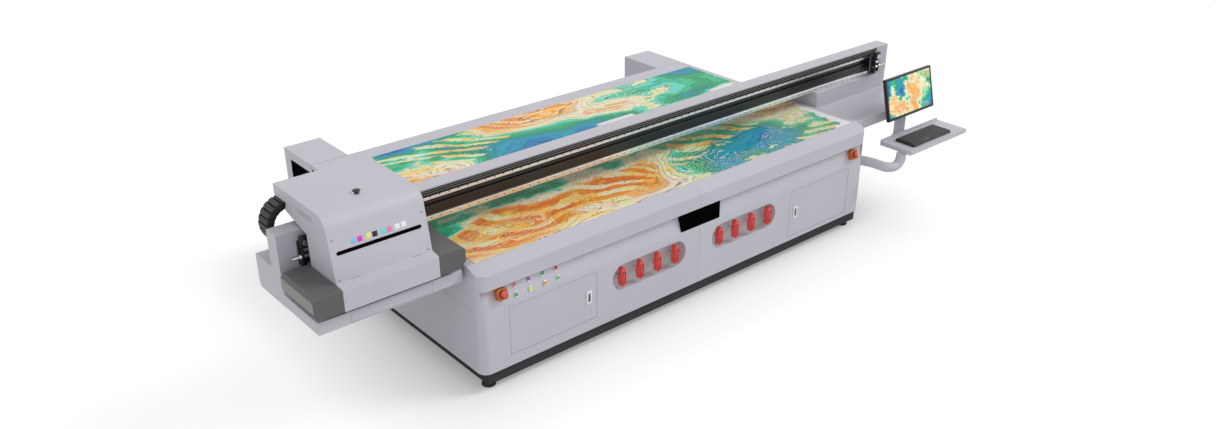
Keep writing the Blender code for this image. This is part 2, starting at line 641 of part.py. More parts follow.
def make_carriage(steel, paint, dark, black):
    add("carriage_plate", box(PLATE), steel)
    head = add("head_block", box(HEAD), dark)
    side = HOOD_WALL + GAP
    weld(head, box((HOOD_LEFT + side, HEAD[1] + 0.02, HEAD_PLATE_Z, HOOD_RIGHT - side, HEAD[4] - 0.02,
                    HEAD_PLATE_Z + 0.01)),
         *[box((x, HEAD[1] + 0.04, HEAD[5] - 0.01, x + 0.02, HEAD[4] - 0.04, HEAD_PLATE_Z + 0.005))
           for x in (HEAD[0] + 0.02, HEAD[3] - 0.04)])
    t = HOOD_WALL
    bend = arc((0.275, ROOF_Z - ROOF_RADIUS), ROOF_RADIUS, 168, 90, 6)
    outline = ([(0.39, HOOD_BOTTOM), (HOOD_FRONT, HOOD_BOTTOM), (HOOD_FRONT, LEDGE_Z), (0.138, LEDGE_Z + 0.008)]
               + bend
               + [(ROOF_BACK, ROOF_Z), (ROOF_BACK, 1.15), (0.60, 1.15), (0.62, 1.103), (0.446, 1.061), (0.405, 1.053)])
    inner_bend = arc((0.275, ROOF_Z - ROOF_RADIUS), ROOF_RADIUS - t, 168, 90, 6)
    void = ([(0.39, HOOD_BOTTOM - 0.01), (HOOD_FRONT + t, HOOD_BOTTOM - 0.01), (HOOD_FRONT + t, LEDGE_Z - t),
             (0.138 + t, LEDGE_Z + 0.008 - t)] + inner_bend
            + [(ROOF_BACK + 0.01, ROOF_Z - t), (ROOF_BACK + 0.01, HOOD_BOTTOM - 0.01)])
    hood = add("hood", prism(outline, "X", HOOD_LEFT, HOOD_RIGHT), paint)
    stem_hole = prism(disc(KNOB_X, KNOB_Y, KNOB_STEM + HOLE_CLEARANCE, 12), "Z", ROOF_Z - 0.03, ROOF_Z + 0.03)
    cut(hood, prism(void, "X", HOOD_LEFT + t, HOOD_RIGHT - t), stem_hole)
    knob = add("hood_knob", prism(disc(KNOB_X, KNOB_Y, KNOB_RADIUS), "Z", ROOF_Z + 0.006, ROOF_Z + 0.018), black)
    weld(smooth(knob), prism(disc(KNOB_X, KNOB_Y, KNOB_STEM, 12), "Z", ROOF_Z - 0.012, ROOF_Z + 0.010))
    for name, x0, outer in (("lamp_left", HOOD_LEFT - GAP - LAMP_WIDTH, -1), ("lamp_right", HOOD_RIGHT + GAP, 1)):
        x1 = x0 + LAMP_WIDTH
        c = LAMP_CHAMFER
        if outer < 0:
            outline = [(x1, LAMP_BOTTOM), (x1, LAMP_TOP), (x0 + c / 2, LAMP_TOP), (x0, LAMP_TOP - c / 2),
                       (x0, LAMP_BOTTOM + c), (x0 + c, LAMP_BOTTOM)]
        else:
            outline = [(x0, LAMP_BOTTOM), (x1 - c, LAMP_BOTTOM), (x1, LAMP_BOTTOM + c), (x1, LAMP_TOP - c / 2),
                       (x1 - c / 2, LAMP_TOP), (x0, LAMP_TOP)]
        add(name, prism(outline, "Y", LAMP_FRONT, LAMP_BACK), dark)


def arm_path():
    """Forward along the bed's side, a quarter turn outward, then a quarter turn up to the shelf."""
    path = [(PIVOT[0] + x, PIVOT[1] + y, ARM_Z) for x, y in ARM_RUN]
    x, y, z = path[-1]
    path += [(px, py, z) for px, py in arc((x + ARM_TURN, y), ARM_TURN, 180, 270, 4)[1:]]
    x, y = x + ARM_TURN + ARM_LEVEL, y - ARM_TURN
    path += [(px, y, pz) for px, pz in arc((x, z + ARM_RISE), ARM_RISE, 270, 360, 5)]
    return path + [(x + ARM_RISE, y, SHELF[2] - GAP)]


def make_console(paint, dark):
    path = arm_path()
    arm = smooth(add("console_arm", tube(path, ARM_RADIUS), paint))
    weld(arm, prism(disc(*PIVOT, BARREL_RADIUS), "Z", *BARREL_Z))
    shelf = add("shelf", box(SHELF), paint)
    x0, x1 = NECK
    plate = NECK_BACK - NECK_THICKNESS
    weld(shelf,
         box((SHELF[0], SHELF[4] - SHELF_LIP, SHELF[5] - 0.01, SHELF[3], SHELF[4], SHELF[5] + SHELF_LIP)),
         box((x0 - 0.02, SHELF[4] - 0.01, SHELF[2] + 0.001, x1 + 0.02, NECK_BACK, SHELF[5] - 0.004)),
         box((x0, plate, SHELF[5] - 0.02, x1, NECK_BACK - 0.001, TILT_Z - TILT_RADIUS - 0.004)),
         *[box((x, TILT_Y - TILT_RADIUS, TILT_Z - TILT_RADIUS - 0.012, x + EAR, NECK_BACK - 0.002, NECK_TOP))
           for x in (x0, x1 - EAR)])
    low = SHELF[5] + GAP
    add("keyboard", box((KEYBOARD[0], KEYBOARD[1], low, KEYBOARD[2], KEYBOARD[3], low + KEYBOARD_HEIGHT)), dark)
    half = MONITOR_WIDTH / 2
    front = -MONITOR_SETBACK
    monitor = add("monitor", box((-half, front, -MONITOR_LOW, half, front + MONITOR_THICKNESS, MONITOR_HIGH)), dark)
    ear = (x1 - x0) / 2 - EAR - GAP
    weld(monitor, prism(disc(0, 0, TILT_RADIUS), "X", -ear, ear),
         box((-ear + 0.002, front + 0.01, -0.008, ear - 0.002, 0, 0.008)))
    monitor.location = ((x0 + x1) / 2, TILT_Y, TILT_Z)
    monitor.rotation_euler = (MONITOR_TILT, 0, 0)


def centre_on_footprint():
    """Hang every piece on one empty, moved so that the footprint is centred on the origin."""
    bpy.context.view_layer.update()
    graph = bpy.context.evaluated_depsgraph_get()
    pieces = [o for o in bpy.context.scene.objects if o.type == "MESH"]
    shown = [o.evaluated_get(graph) for o in pieces if not o.hide_render]
    corners = [o.matrix_world @ Vector(c) for o in shown for c in o.bound_box]
    holder = bpy.data.objects.new("printer", None)
    bpy.context.scene.collection.objects.link(holder)
    for obj in pieces:
        if obj.parent is None:
            obj.parent = holder
    for axis in range(2):
        values = [c[axis] for c in corners]
        holder.location[axis] = -(min(values) + max(values)) / 2
    print("footprint shift", tuple(round(v, 6) for v in holder.location))


def main():
    clear_scene()
    paint = finish("light_grey_paint", (0.60, 0.59, 0.64), 0.45)
    aluminium = finish("table_aluminium", (0.72, 0.72, 0.73), 0.4, 1.0)
    steel = finish("steel", (0.6, 0.6, 0.62), 0.3, 1.0)
    dark = finish("dark_grey_plastic", (0.07, 0.07, 0.075), 0.5)
    black = finish("black_plastic", (0.015, 0.015, 0.016), 0.5)
    red = finish("red_plastic", (0.7, 0.02, 0.03), 0.4)
    orange = finish("amber_plastic", (0.75, 0.25, 0.03), 0.4)
    print_white = finish("printed_board", (0.85, 0.85, 0.82), 0.5)
    colours = (("coral", (0.9, 0.2, 0.08)), ("violet", (0.35, 0.06, 0.55)), ("green", (0.02, 0.45, 0.15)),
               ("red", (0.75, 0.03, 0.03)), ("leaf", (0.03, 0.5, 0.12)), ("yellow", (0.85, 0.75, 0.1)),
               ("amber", (0.85, 0.3, 0.03)), ("lime", (0.08, 0.6, 0.15)))
    caps = [finish(f"{name}_cap", color, 0.35) for name, color in colours]
    make_frame(black)
    make_feet(black)
    make_front(paint)
    make_covers(paint)
    make_table(aluminium, print_white)
    make_y_rails(steel)
    make_pockets(dark)
    make_handles(red)
    make_doors(paint)
    make_buttons(caps)
    make_estops(orange, red)
    make_beam(paint, steel)
    make_gantry_sides(paint, steel)
    make_trough(paint)
    make_chain(black)
    make_carriage(steel, paint, dark, black)
    make_console(paint, dark)
    centre_on_footprint()


main()
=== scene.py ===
import json

import bmesh
import bpy
import numpy as np
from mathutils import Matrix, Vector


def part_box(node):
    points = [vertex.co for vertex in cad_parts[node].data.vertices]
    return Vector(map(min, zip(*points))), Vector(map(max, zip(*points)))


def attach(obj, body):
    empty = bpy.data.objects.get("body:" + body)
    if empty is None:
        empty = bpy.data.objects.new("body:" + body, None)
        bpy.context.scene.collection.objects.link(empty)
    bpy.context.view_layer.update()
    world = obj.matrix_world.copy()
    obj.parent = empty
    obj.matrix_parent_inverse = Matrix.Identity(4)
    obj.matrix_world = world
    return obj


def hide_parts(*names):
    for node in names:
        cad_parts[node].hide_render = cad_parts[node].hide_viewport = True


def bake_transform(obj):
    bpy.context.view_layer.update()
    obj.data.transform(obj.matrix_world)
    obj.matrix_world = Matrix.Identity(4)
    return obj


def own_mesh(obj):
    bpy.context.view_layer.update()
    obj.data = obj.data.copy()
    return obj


bl_info = {
    "name": "Flatbed Printer Look",
    "version": (1, 0, 0),
    "blender": (4, 5, 0),
    "location": "3D View > Sidebar > Printer",
    "description": "Builds the covers, fittings and finishes of a flatbed printer around its frame",
    "category": "Object",
}

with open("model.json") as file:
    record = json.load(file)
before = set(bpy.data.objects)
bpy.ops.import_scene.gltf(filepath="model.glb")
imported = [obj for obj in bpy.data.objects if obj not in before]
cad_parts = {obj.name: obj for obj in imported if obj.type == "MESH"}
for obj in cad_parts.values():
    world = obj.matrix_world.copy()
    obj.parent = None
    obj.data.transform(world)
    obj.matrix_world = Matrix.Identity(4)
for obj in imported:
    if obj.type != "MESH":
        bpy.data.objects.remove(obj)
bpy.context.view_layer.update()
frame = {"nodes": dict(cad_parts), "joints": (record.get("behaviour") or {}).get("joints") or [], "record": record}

# ---- places taken from the frame

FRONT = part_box("front_cover")
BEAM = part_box("beam")
UPPER_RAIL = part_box("rail_upper")
LOWER_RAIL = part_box("rail_lower")
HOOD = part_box("hood")
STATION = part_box("station_tray")
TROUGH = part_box("chain_trough")
CHAIN_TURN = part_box("chain_bend")
CHAIN_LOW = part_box("chain_lower")
CHAIN_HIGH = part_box("chain_upper")
BED_X, BED_Y = FRONT[0].x, FRONT[0].y
BED_END = FRONT[1].x

RECESS_LOW, RECESS_HIGH, RECESS_DEPTH = 0.51, 0.624, 0.038
RECESS_RISE = np.arctan2(RECESS_DEPTH, RECESS_HIGH - RECESS_LOW)
CHANNEL_FLOOR = UPPER_RAIL[1].y
SCREEN_TILT = np.radians(14)
HIDE = 0.0004


def bed(x, y, z):
    """A point measured from the bed's left front corner on the floor."""
    return np.array((BED_X + x, BED_Y + y, z))


# ---- settings

class FinishSettings(bpy.types.PropertyGroup):
    """Colours and coats of the large surfaces."""

    paint: bpy.props.FloatVectorProperty(
        name="Cover paint", description="Colour of the powder coat on covers and beam",
        default=(0.545, 0.535, 0.595), subtype="COLOR", min=0, max=1)
    paint_roughness: bpy.props.FloatProperty(
        name="Paint roughness", description="How dull the powder coat is", default=0.42, min=0, max=1,
        subtype="FACTOR")
    lamp: bpy.props.FloatVectorProperty(
        name="Lamp cover", description="Colour of the lamp covers", default=(0.109, 0.109, 0.113),
        subtype="COLOR", min=0, max=1)
    grip: bpy.props.FloatVectorProperty(
        name="Red plastic", description="Colour of the valve handles and stop buttons",
        default=(0.78, 0.085, 0.08), subtype="COLOR", min=0, max=1)
    amber: bpy.props.FloatVectorProperty(
        name="Amber plastic", description="Colour of the stop button housings",
        default=(0.50, 0.13, 0.018), subtype="COLOR", min=0, max=1)


class DetailSettings(bpy.types.PropertyGroup):
    """Sizes of the small fittings."""

    edge: bpy.props.FloatProperty(
        name="Sheet edge", description="Radius of folded sheet edges", default=0.004, min=0.0005, max=0.02,
        unit="LENGTH")
    screw_pitch: bpy.props.FloatProperty(
        name="Rail screw pitch", description="Distance between the screws of a rail", default=0.06, min=0.02,
        max=0.2, unit="LENGTH")
    bezel: bpy.props.FloatProperty(
        name="Button bezel", description="Outer radius of the push button bezels", default=0.0155, min=0.013,
        max=0.03, unit="LENGTH")
    link_pitch: bpy.props.FloatProperty(
        name="Chain link pitch", description="Length of one link of the cable chain", default=0.03, min=0.02,
        max=0.1, unit="LENGTH")
    seam: bpy.props.FloatProperty(
        name="Seam width", description="Width of the joint between two covers", default=0.0018, min=0.0005,
        max=0.01, unit="LENGTH")


# ---- surfaces

def joined(*shapes):
    """Several shapes as one: their points one after another, faces counted on."""
    points, faces, count = [], [], 0
    for p, f in shapes:
        points.append(p)
        faces.append(f + count)
        count += len(p)
    return np.concatenate(points), np.concatenate(faces)


def grid_faces(rows, columns, closed=True):
    """Quads between neighbouring rows of a grid, whose columns close into a ring."""
    r, c = np.meshgrid(np.arange(rows - 1), np.arange(columns if closed else columns - 1), indexing="ij")
    n = (c + 1) % columns
    return np.stack([r * columns + c, r * columns + n, (r + 1) * columns + n, (r + 1) * columns + c],
                    axis=-1).reshape(-1, 4)


def block(low, high, radius=0.001, steps=3):
    """A box with round edges: the point at two angles is the corner of an inner box plus the radius times
    the direction, so each octant of a ball sits at one corner and flats stretch between them."""
    low, high = np.minimum(low, high), np.maximum(low, high)
    half = (high - low) / 2
    radius = min(radius, half.min() * 0.98)
    quarter = np.linspace(0, np.pi / 2, steps)
    lat = np.concatenate([quarter - np.pi / 2, quarter])
    up = np.repeat([-1.0, 1.0], steps)
    lon = np.concatenate([quarter + i * np.pi / 2 for i in range(4)])
    side_x = np.repeat([1.0, -1.0, -1.0, 1.0], steps)
    side_y = np.repeat([1.0, 1.0, -1.0, -1.0], steps)
    lat, lon = np.meshgrid(lat, lon, indexing="ij")
    ball = np.stack([np.cos(lat) * np.cos(lon), np.cos(lat) * np.sin(lon), np.sin(lat)], axis=-1)
    corner = np.stack(np.broadcast_arrays(side_x[None, :], side_y[None, :], up[:, None]), axis=-1)
    points = (low + high) / 2 + corner * (half - radius) + radius * ball
    rows, columns = points.shape[:2]
    faces = grid_faces(rows, columns)
    caps = np.array([[3, 2, 1, 0], [0, 1, 2, 3]]) * steps
    caps[1] += (rows - 1) * columns
    return points.reshape(-1, 3), np.concatenate([faces, caps])


def blocks(boxes, radius, steps=2):
    """Several boxes with round edges, each given by two corners."""
    return joined(*[block(low, high, radius, steps) for low, high in boxes])


def basis(axis):
    """Three right-angled directions, the third along the axis."""
    w = np.asarray(axis, float) / np.linalg.norm(axis)
    u = np.cross((0, 0, 1) if abs(w[2]) < 0.9 else (1, 0, 0), w)
    u /= np.linalg.norm(u)
    return u, np.cross(w, u), w


def turned(profile, centre, axis, segments=32):
    """A profile of radius and height turned about an axis: point = centre + radius times the ring direction
    + height times the axis."""
    profile = np.asarray(profile, float)
    u, v, w = basis(axis)
    angle = np.arange(segments) * 2 * np.pi / segments
    ring = np.cos(angle)[:, None] * u + np.sin(angle)[:, None] * v
    points = centre + profile[:, 0, None, None] * ring[None] + profile[:, 1, None, None] * w
    return points.reshape(-1, 3), grid_faces(len(profile), segments)


def dome(radius, low, high, crown, steps=6):
    """Profile of a button: straight side, then a quarter ellipse to the top."""
    t = np.linspace(0, np.pi / 2, steps)
    top = np.stack([radius * np.cos(t), high - crown + crown * np.sin(t)], axis=-1)
    return np.concatenate([[(0, low), (radius, low)], top])


def ring(inner, outer, low, high, steps=5):
    """Profile of a collar with a half round top."""
    t = np.linspace(0, np.pi, steps)
    middle, half = (inner + outer) / 2, (outer - inner) / 2
    top = np.stack([middle + half * np.cos(t), high - half + half * np.sin(t)], axis=-1)
    return np.concatenate([[(inner, low), (outer, low)], top, [(inner, low)]])


def moved(shape, origin, right, out, up):
    """A shape drawn in its own axes (x right, y out, z up), placed in the frame."""
    points, faces = shape
    axes = np.stack([right, out, up])
    return origin + points @ axes, faces


def repeated(shape, places):
    """The shape once at each place."""
    points, faces = shape
    places = np.asarray(places, float)
    every = (points[None] + places[:, None]).reshape(-1, 3)
    step = np.arange(len(places))[:, None, None] * len(points)
    return every, (faces[None] + step).reshape(-1, 4)


def merged(mesh, distance):
    """The mesh opened for editing, with points closer than the distance made one."""
    bm = bmesh.new()
    bm.from_mesh(mesh)
    bmesh.ops.remove_doubles(bm, verts=bm.verts, dist=distance)
    return bm


def piece(name, shape, material, body=None, replaces=(), angle=40):
    """Puts a shape into a mesh, closes its poles and seams, and makes it ride on a body."""
    points, faces = shape
    mesh = bpy.data.meshes.new(name)
    mesh.from_pydata(points.tolist(), [], faces.tolist())
    bm = merged(mesh, 1e-6)
    bmesh.ops.dissolve_degenerate(bm, edges=bm.edges, dist=1e-7)
    bmesh.ops.recalc_face_normals(bm, faces=bm.faces)
    bm.to_mesh(mesh)
    bm.free()
    return shown(name, mesh, material, body, replaces, angle)


def shown(name, mesh, material, body, replaces, angle):
    mesh.shade_smooth()
    mesh.set_sharp_from_angle(angle=np.radians(angle))
    mesh.materials.clear()
    mesh.materials.append(material)
    obj = bpy.data.objects.new(name, mesh)
    bpy.context.scene.collection.objects.link(obj)
    if body:
        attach(obj, body)
    if replaces:
        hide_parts(*replaces)
    return obj


BODY_OF = {node: body for body, nodes in frame["record"]["behaviour"]["bodies"].items() for node in nodes}
SLOT_OF = {part["node"]: part["material_slot"] for part in frame["record"]["subparts"]}


def dressed(node, look, width=0.003, segments=3, angle=40):
    """The node's own solid, its triangles merged into flats and its edges rounded, in the node's place."""
    mesh = frame["nodes"][node].data.copy()
    bm = merged(mesh, 2e-5)
    bmesh.ops.dissolve_limit(bm, angle_limit=np.radians(0.6), verts=bm.verts, edges=bm.edges)
    bm.to_mesh(mesh)
    bm.free()
    obj = shown(f"{node}_finished", mesh, LOOKS[look], BODY_OF[node], (node,), angle)
    bevel = obj.modifiers.new("Edges", "BEVEL")
    bevel.width = width
    bevel.segments = segments
    bevel.limit_method = "ANGLE"
    bevel.angle_limit = np.radians(32)
    bevel.use_clamp_overlap = True
    bevel.harden_normals = True
    return obj


# ---- shader maths

class Value:
    """A socket of a shader tree, on which sums and products add Math nodes."""

    def __init__(self, tree, socket):
        self.tree = tree
        self.socket = socket

    def maths(self, operation, *others):
        node = self.tree.nodes.new("ShaderNodeMath")
        node.operation = operation
        for place, value in enumerate((self, *others)):
            if isinstance(value, Value):
                self.tree.links.new(value.socket, node.inputs[place])
            else:
                node.inputs[place].default_value = value
        return Value(self.tree, node.outputs[0])

    def __add__(self, other):
        return self.maths("ADD", other)

    def __sub__(self, other):
        return self.maths("SUBTRACT", other)

    def __rsub__(self, other):
        return (self * -1.0) + other

    def __mul__(self, other):
        return self.maths("MULTIPLY", other)

    def __gt__(self, other):
        return self.maths("GREATER_THAN", other)

    def sine(self):
        return self.maths("SINE")

    def power(self, other):
        return self.maths("POWER", other)

    __radd__ = __add__
    __rmul__ = __mul__


class Finish:
    """A material built up from nodes."""

    def __init__(self, name):
        self.material = bpy.data.materials.new(name)
        self.material.use_nodes = True
        self.tree = self.material.node_tree
        self.shader = self.tree.nodes["Principled BSDF"]
        self.place = self.node("ShaderNodeTexCoord", {}, {}, "Object")

    def node(self, kind, settings, sockets, output=0):
        """One node: settings first, then the values or links of its sockets."""
        node = self.tree.nodes.new(kind)
        for key, value in settings.items():
            setattr(node, key, value)
        for key, value in sockets.items():
            self.link(value, node.inputs[key])
        return Value(self.tree, node.outputs[output])

    def link(self, value, socket):
        if isinstance(value, Value):
            self.tree.links.new(value.socket, socket)
        else:
            socket.default_value = value

    def set(self, **sockets):
        for key, value in sockets.items():
            self.link(value, self.shader.inputs[key.replace("_", " ")])
        return self

    def noise(self, scale, detail=2.0, stretch=(1, 1, 1), roughness=0.5):
        place = self.node("ShaderNodeMapping", {}, {"Vector": self.place, "Scale": stretch})
        return self.node("ShaderNodeTexNoise", {}, {"Vector": place, "Scale": scale, "Detail": detail,
                                                    "Roughness": roughness})

    def axis(self, name):
        return self.node("ShaderNodeSeparateXYZ", {}, {"Vector": self.place}, name)

    def mix(self, share, first, second):
        node = self.tree.nodes.new("ShaderNodeMix")
        node.data_type = "RGBA"
        self.link(share, node.inputs[0])
        self.link((*first, 1) if isinstance(first, tuple) and len(first) == 3 else first, node.inputs[6])
        self.link((*second, 1) if isinstance(second, tuple) and len(second) == 3 else second, node.inputs[7])
        return Value(self.tree, node.outputs[2])

    def ramp(self, share, stops):
        node = self.tree.nodes.new("ShaderNodeValToRGB")
        while len(node.color_ramp.elements) < len(stops):
            node.color_ramp.elements.new(0.5)
        for element, (position, color) in zip(node.color_ramp.elements, stops):
            element.position = position
            element.color = (*color, 1)
        self.link(share, node.inputs[0])
        return Value(self.tree, node.outputs[0])

    def bump(self, height, strength=0.1, distance=0.001):
        sockets = {"Height": height, "Strength": strength, "Distance": distance}
        return self.set(Normal=self.node("ShaderNodeBump", {}, sockets))


def shade(color, factor):
    """A colour made lighter or darker, none of its parts above 1."""
    return tuple(min(1.0, c * factor) for c in color[:3])


def coat(name, color, roughness, grain=900, strength=0.06, metallic=0.0, dust=0.06):
    """A sprayed coat: slow cloudy change of colour and gloss, fine orange peel."""
    finish = Finish(name)
    cloud = finish.noise(2.3, 3)
    peel = finish.noise(grain, 2)
    tone = finish.mix(cloud, shade(color, 1 - dust), shade(color, 1 + dust))
    finish.set(Base_Color=tone, Roughness=cloud * 0.10 + (roughness - 0.05), Metallic=metallic)
    finish.bump(peel, strength, 0.0006)
    return finish.material


def ground(name, color, roughness, stretch=(0.02, 1, 1)):
    """Ground metal with fine lines along one way."""
    finish = Finish(name)
    lines = finish.noise(900, 2, stretch)
    cloud = finish.noise(4, 3)
    finish.set(Base_Color=finish.mix(lines, shade(color, 0.86), shade(color, 1.08)),
               Roughness=lines * 0.14 + cloud * 0.08 + (roughness - 0.11), Metallic=1.0)
    finish.bump(lines, 0.05, 0.0004)
    return finish.material


def moulded(name, color, roughness=0.35, grain=1500, strength=0.05):
    """Moulded plastic: even colour, a faint spark-eroded grain, duller where it is rubbed."""
    finish = Finish(name)
    cloud = finish.noise(35, 3)
    finish.set(Base_Color=finish.mix(cloud, shade(color, 0.9), shade(color, 1.06)),
               Roughness=cloud * 0.12 + (roughness - 0.06))
    finish.bump(finish.noise(grain, 1), strength, 0.0004)
    return finish.material


DEEP_SHADE, DARK_LINE = (0.01, 0.09, 0.14), (0.02, 0.10, 0.12)
STREAKS = [(0.35, (0.95, 0.46, 0.05)), (0.5, (0.97, 0.70, 0.22)), (0.62, (0.80, 0.90, 0.62))]
BAND_COUNT = 26.0


def landscape(finish, scale, stops, lines):
    """Flowing bands: a height made of long waves and soft noise runs through a scale of colours in steps,
    fans of thin stripes cross it where a second height is large, and dark and pale lines follow the steps."""
    x, y = finish.axis("X"), finish.axis("Y")
    slow = finish.noise(0.9 * scale, 2, (0.75, 1.5, 1))
    curl = finish.noise(4.2 * scale, 5, (0.8, 1.5, 1), 0.6)
    swell = (x * (1.9 * scale) + y * (3.6 * scale) + slow * 10.0).sine()
    cross = (x * (1.2 * scale) - y * (5.1 * scale) + slow * 8.0 + curl * 3.0).sine()
    height = swell * 0.17 + cross * 0.13 + slow * 0.8 + curl * 0.5 - 0.14
    steps = height * BAND_COUNT
    whole = steps.maths("FLOOR")
    within = steps - whole
    bands = finish.ramp(whole * (1 / BAND_COUNT) + within * 0.012, stops)
    shaded = finish.mix(within.power(2.0) * 0.35, bands, DEEP_SHADE)
    fan = ((x * 0.9 + y * 2.2 + slow * 2.6) * (26.0 * scale) + curl * 9.0).sine()
    feather = (fan > 0.1) * ((slow * 0.75 + curl * 0.55 + cross * 0.12) > 0.66)
    drawn = finish.mix(feather * 0.85, shaded, finish.ramp(curl, STREAKS))
    lined = finish.mix((within > 0.91) * 0.8, drawn, DARK_LINE)
    pale = ((height * 300.0).sine() > 0.9) * (slow > 0.56) * 0.8
    return finish.mix(pale, lined, lines), height


BOARD_COLOURS = [(0.00, (0.002, 0.04, 0.26)), (0.20, (0.002, 0.14, 0.44)), (0.30, (0.002, 0.36, 0.55)),
                 (0.38, (0.005, 0.30, 0.22)), (0.45, (0.03, 0.50, 0.13)), (0.50, (0.07, 0.72, 0.58)),
                 (0.55, (0.98, 0.88, 0.42)), (0.60, (0.97, 0.93, 0.78)), (0.67, (0.98, 0.40, 0.02)),
                 (0.77, (0.92, 0.16, 0.01)), (0.88, (0.98, 0.60, 0.06)), (1.00, (0.97, 0.90, 0.60))]


def printed_board():
    """Ultraviolet ink on a white board, printed to its edges except for a plain, wavy end on the right."""
    finish = Finish("printed_board_ink")
    art, height = landscape(finish, 1.0, BOARD_COLOURS, (0.97, 0.93, 0.78))
    right_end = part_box("printed_sheet")[1].x
    wave = finish.axis("X") + finish.noise(3.0, 3) * 0.9 - finish.axis("Y") * 0.35
    bare = wave > right_end + 0.62
    finish.set(Base_Color=finish.mix(bare, art, (0.88, 0.88, 0.87)), Roughness=height * 0.08 + 0.36)
    finish.set(Specular_IOR_Level=0.22)
    finish.bump(finish.noise(1200, 2), 0.05, 0.0003)
    return finish.material


def lit_screen():
    """A glossy panel that shows flowing bands of its own."""
    finish = Finish("screen_panel")
    art, height = landscape(finish, 7.0, BOARD_COLOURS, (0.96, 0.92, 0.80))
    finish.set(Base_Color=art, Emission_Color=art, Roughness=height * 0.03 + 0.10)
    finish.set(Emission_Strength=0.25)
    return finish.material


def key_plastic():
    """Matt black key caps with a fine grain."""
    finish = Finish("key_caps")
    cloud = finish.noise(60, 2)
    finish.set(Base_Color=finish.mix(cloud, (0.035, 0.035, 0.036), (0.055, 0.055, 0.057)),
               Roughness=cloud * 0.1 + 0.42)
    finish.bump(finish.noise(2500, 1), 0.08, 0.0003)
    return finish.material


def quiet(material, level=0.12):
    """The same material with most of its mirror reflection taken away."""
    material.node_tree.nodes["Principled BSDF"].inputs["Specular IOR Level"].default_value = level
    return material


LOOKS = {}


def make_looks(settings):
    """Makes every finish that more than one piece can share."""
    paint, rough = tuple(settings.paint), settings.paint_roughness
    LOOKS.update(
        paint=coat("grey_powder_coat", paint, rough),
        lamp=coat("lamp_coat", tuple(settings.lamp), 0.5, 500, 0.12),
        frame=coat("frame_coat", (0.03, 0.03, 0.032), 0.5, 600, 0.1),
        pocket=coat("pocket_coat", (0.56, 0.56, 0.58), 0.5),
        rail=ground("rail_steel", (0.86, 0.86, 0.87), 0.32),
        steel=ground("turned_steel", (0.74, 0.74, 0.76), 0.25, (1, 1, 1)),
        bezel=ground("bezel_metal", (0.66, 0.66, 0.67), 0.36, (1, 1, 0.05)),
        alloy=ground("anodised_block", (0.22, 0.22, 0.23), 0.4, (1, 0.05, 1)),
        red=moulded("red_grip", tuple(settings.grip), 0.32),
        amber=moulded("amber_housing", tuple(settings.amber), 0.38),
        black=moulded("black_moulding", (0.012, 0.012, 0.013), 0.35),
        liner=moulded("channel_liner", (0.014, 0.014, 0.015), 0.22, 300, 0.02),
        nylon=moulded("chain_nylon", (0.013, 0.013, 0.014), 0.48, 700, 0.12),
        rubber=moulded("foot_rubber", (0.02, 0.02, 0.02), 0.7, 500, 0.2),
        seam=moulded("seam_shadow", (0.24, 0.24, 0.25), 0.7),
        white=moulded("white_plate", (0.84, 0.84, 0.85), 0.35),
        pale=moulded("pale_cover", (0.80, 0.80, 0.82), 0.4),
        plate=quiet(moulded("blank_plate", (0.002, 0.002, 0.0022), 0.6, 200, 0.02), 0.0),
        # Near-black for the channel's seal strip, and for dark sheets in hollows and under the channel's top that
        # are painted shade
        shadow=quiet(moulded("black_seal_and_painted_shade", (0.02, 0.02, 0.022), 0.8)),
        # Near-black coat for the skirt under the covers: painted shade under the bed
        plinth=quiet(coat("plinth_coat", (0.045, 0.045, 0.047), 0.7)),
        side=coat("lamp_side_coat", (0.27, 0.27, 0.26), 0.5),
        collar=moulded("stop_collar", (0.13, 0.035, 0.01), 0.45),
        recess=moulded("lock_recess", (0.33, 0.33, 0.34), 0.5),
        board=printed_board(),
        screen=lit_screen(),
        keys=key_plastic(),
    )


def fitting(name, shape, look, body, replaces=(), angle=40):
    """A piece in one of the shared looks, in the slot that goes with it unless another is given."""
    return piece(name, shape, LOOKS[look], body, replaces, angle)


X_AXIS, Y_AXIS, Z_AXIS = np.eye(3)
SIDES = ("left", "right")


def leaning(angle):
    """Right, outward and upward directions of a front face that leans back by an angle."""
    return X_AXIS, np.array((0, -np.cos(angle), np.sin(angle))), np.array((0, np.sin(angle), np.cos(angle)))


RECESS = leaning(RECESS_RISE)
HOOD_LEDGE, HOOD_SET_BACK = 0.126, 0.060
HOOD_LEAN, HOOD_HEIGHT = 0.049, 0.253
HOOD_RISE = np.arctan2(HOOD_LEAN, HOOD_HEIGHT)
HOOD_FACE = leaning(HOOD_RISE)
UPRIGHT = leaning(0.0)


def recess_point(x, z):
    """A point on the slanted recess of the front cover, from the bed's corner."""
    return bed(x, RECESS_DEPTH * (z - RECESS_LOW) / (RECESS_HIGH - RECESS_LOW), z)


def hood_point(x, z):
    """A point on the hood's leaning front face, from the bed's edge and the floor."""
    above = z - HOOD[0].z - HOOD_LEDGE
    return np.array((BED_X + x, HOOD[0].y + HOOD_SET_BACK + above * np.tan(HOOD_RISE), z))


def middle(node, x=None, y=None, z=None):
    """The middle of a node's box, with any coordinate that is given in its place."""
    low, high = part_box(node)
    return np.array([c if given is None else given for c, given in zip((low + high) / 2, (x, y, z))])


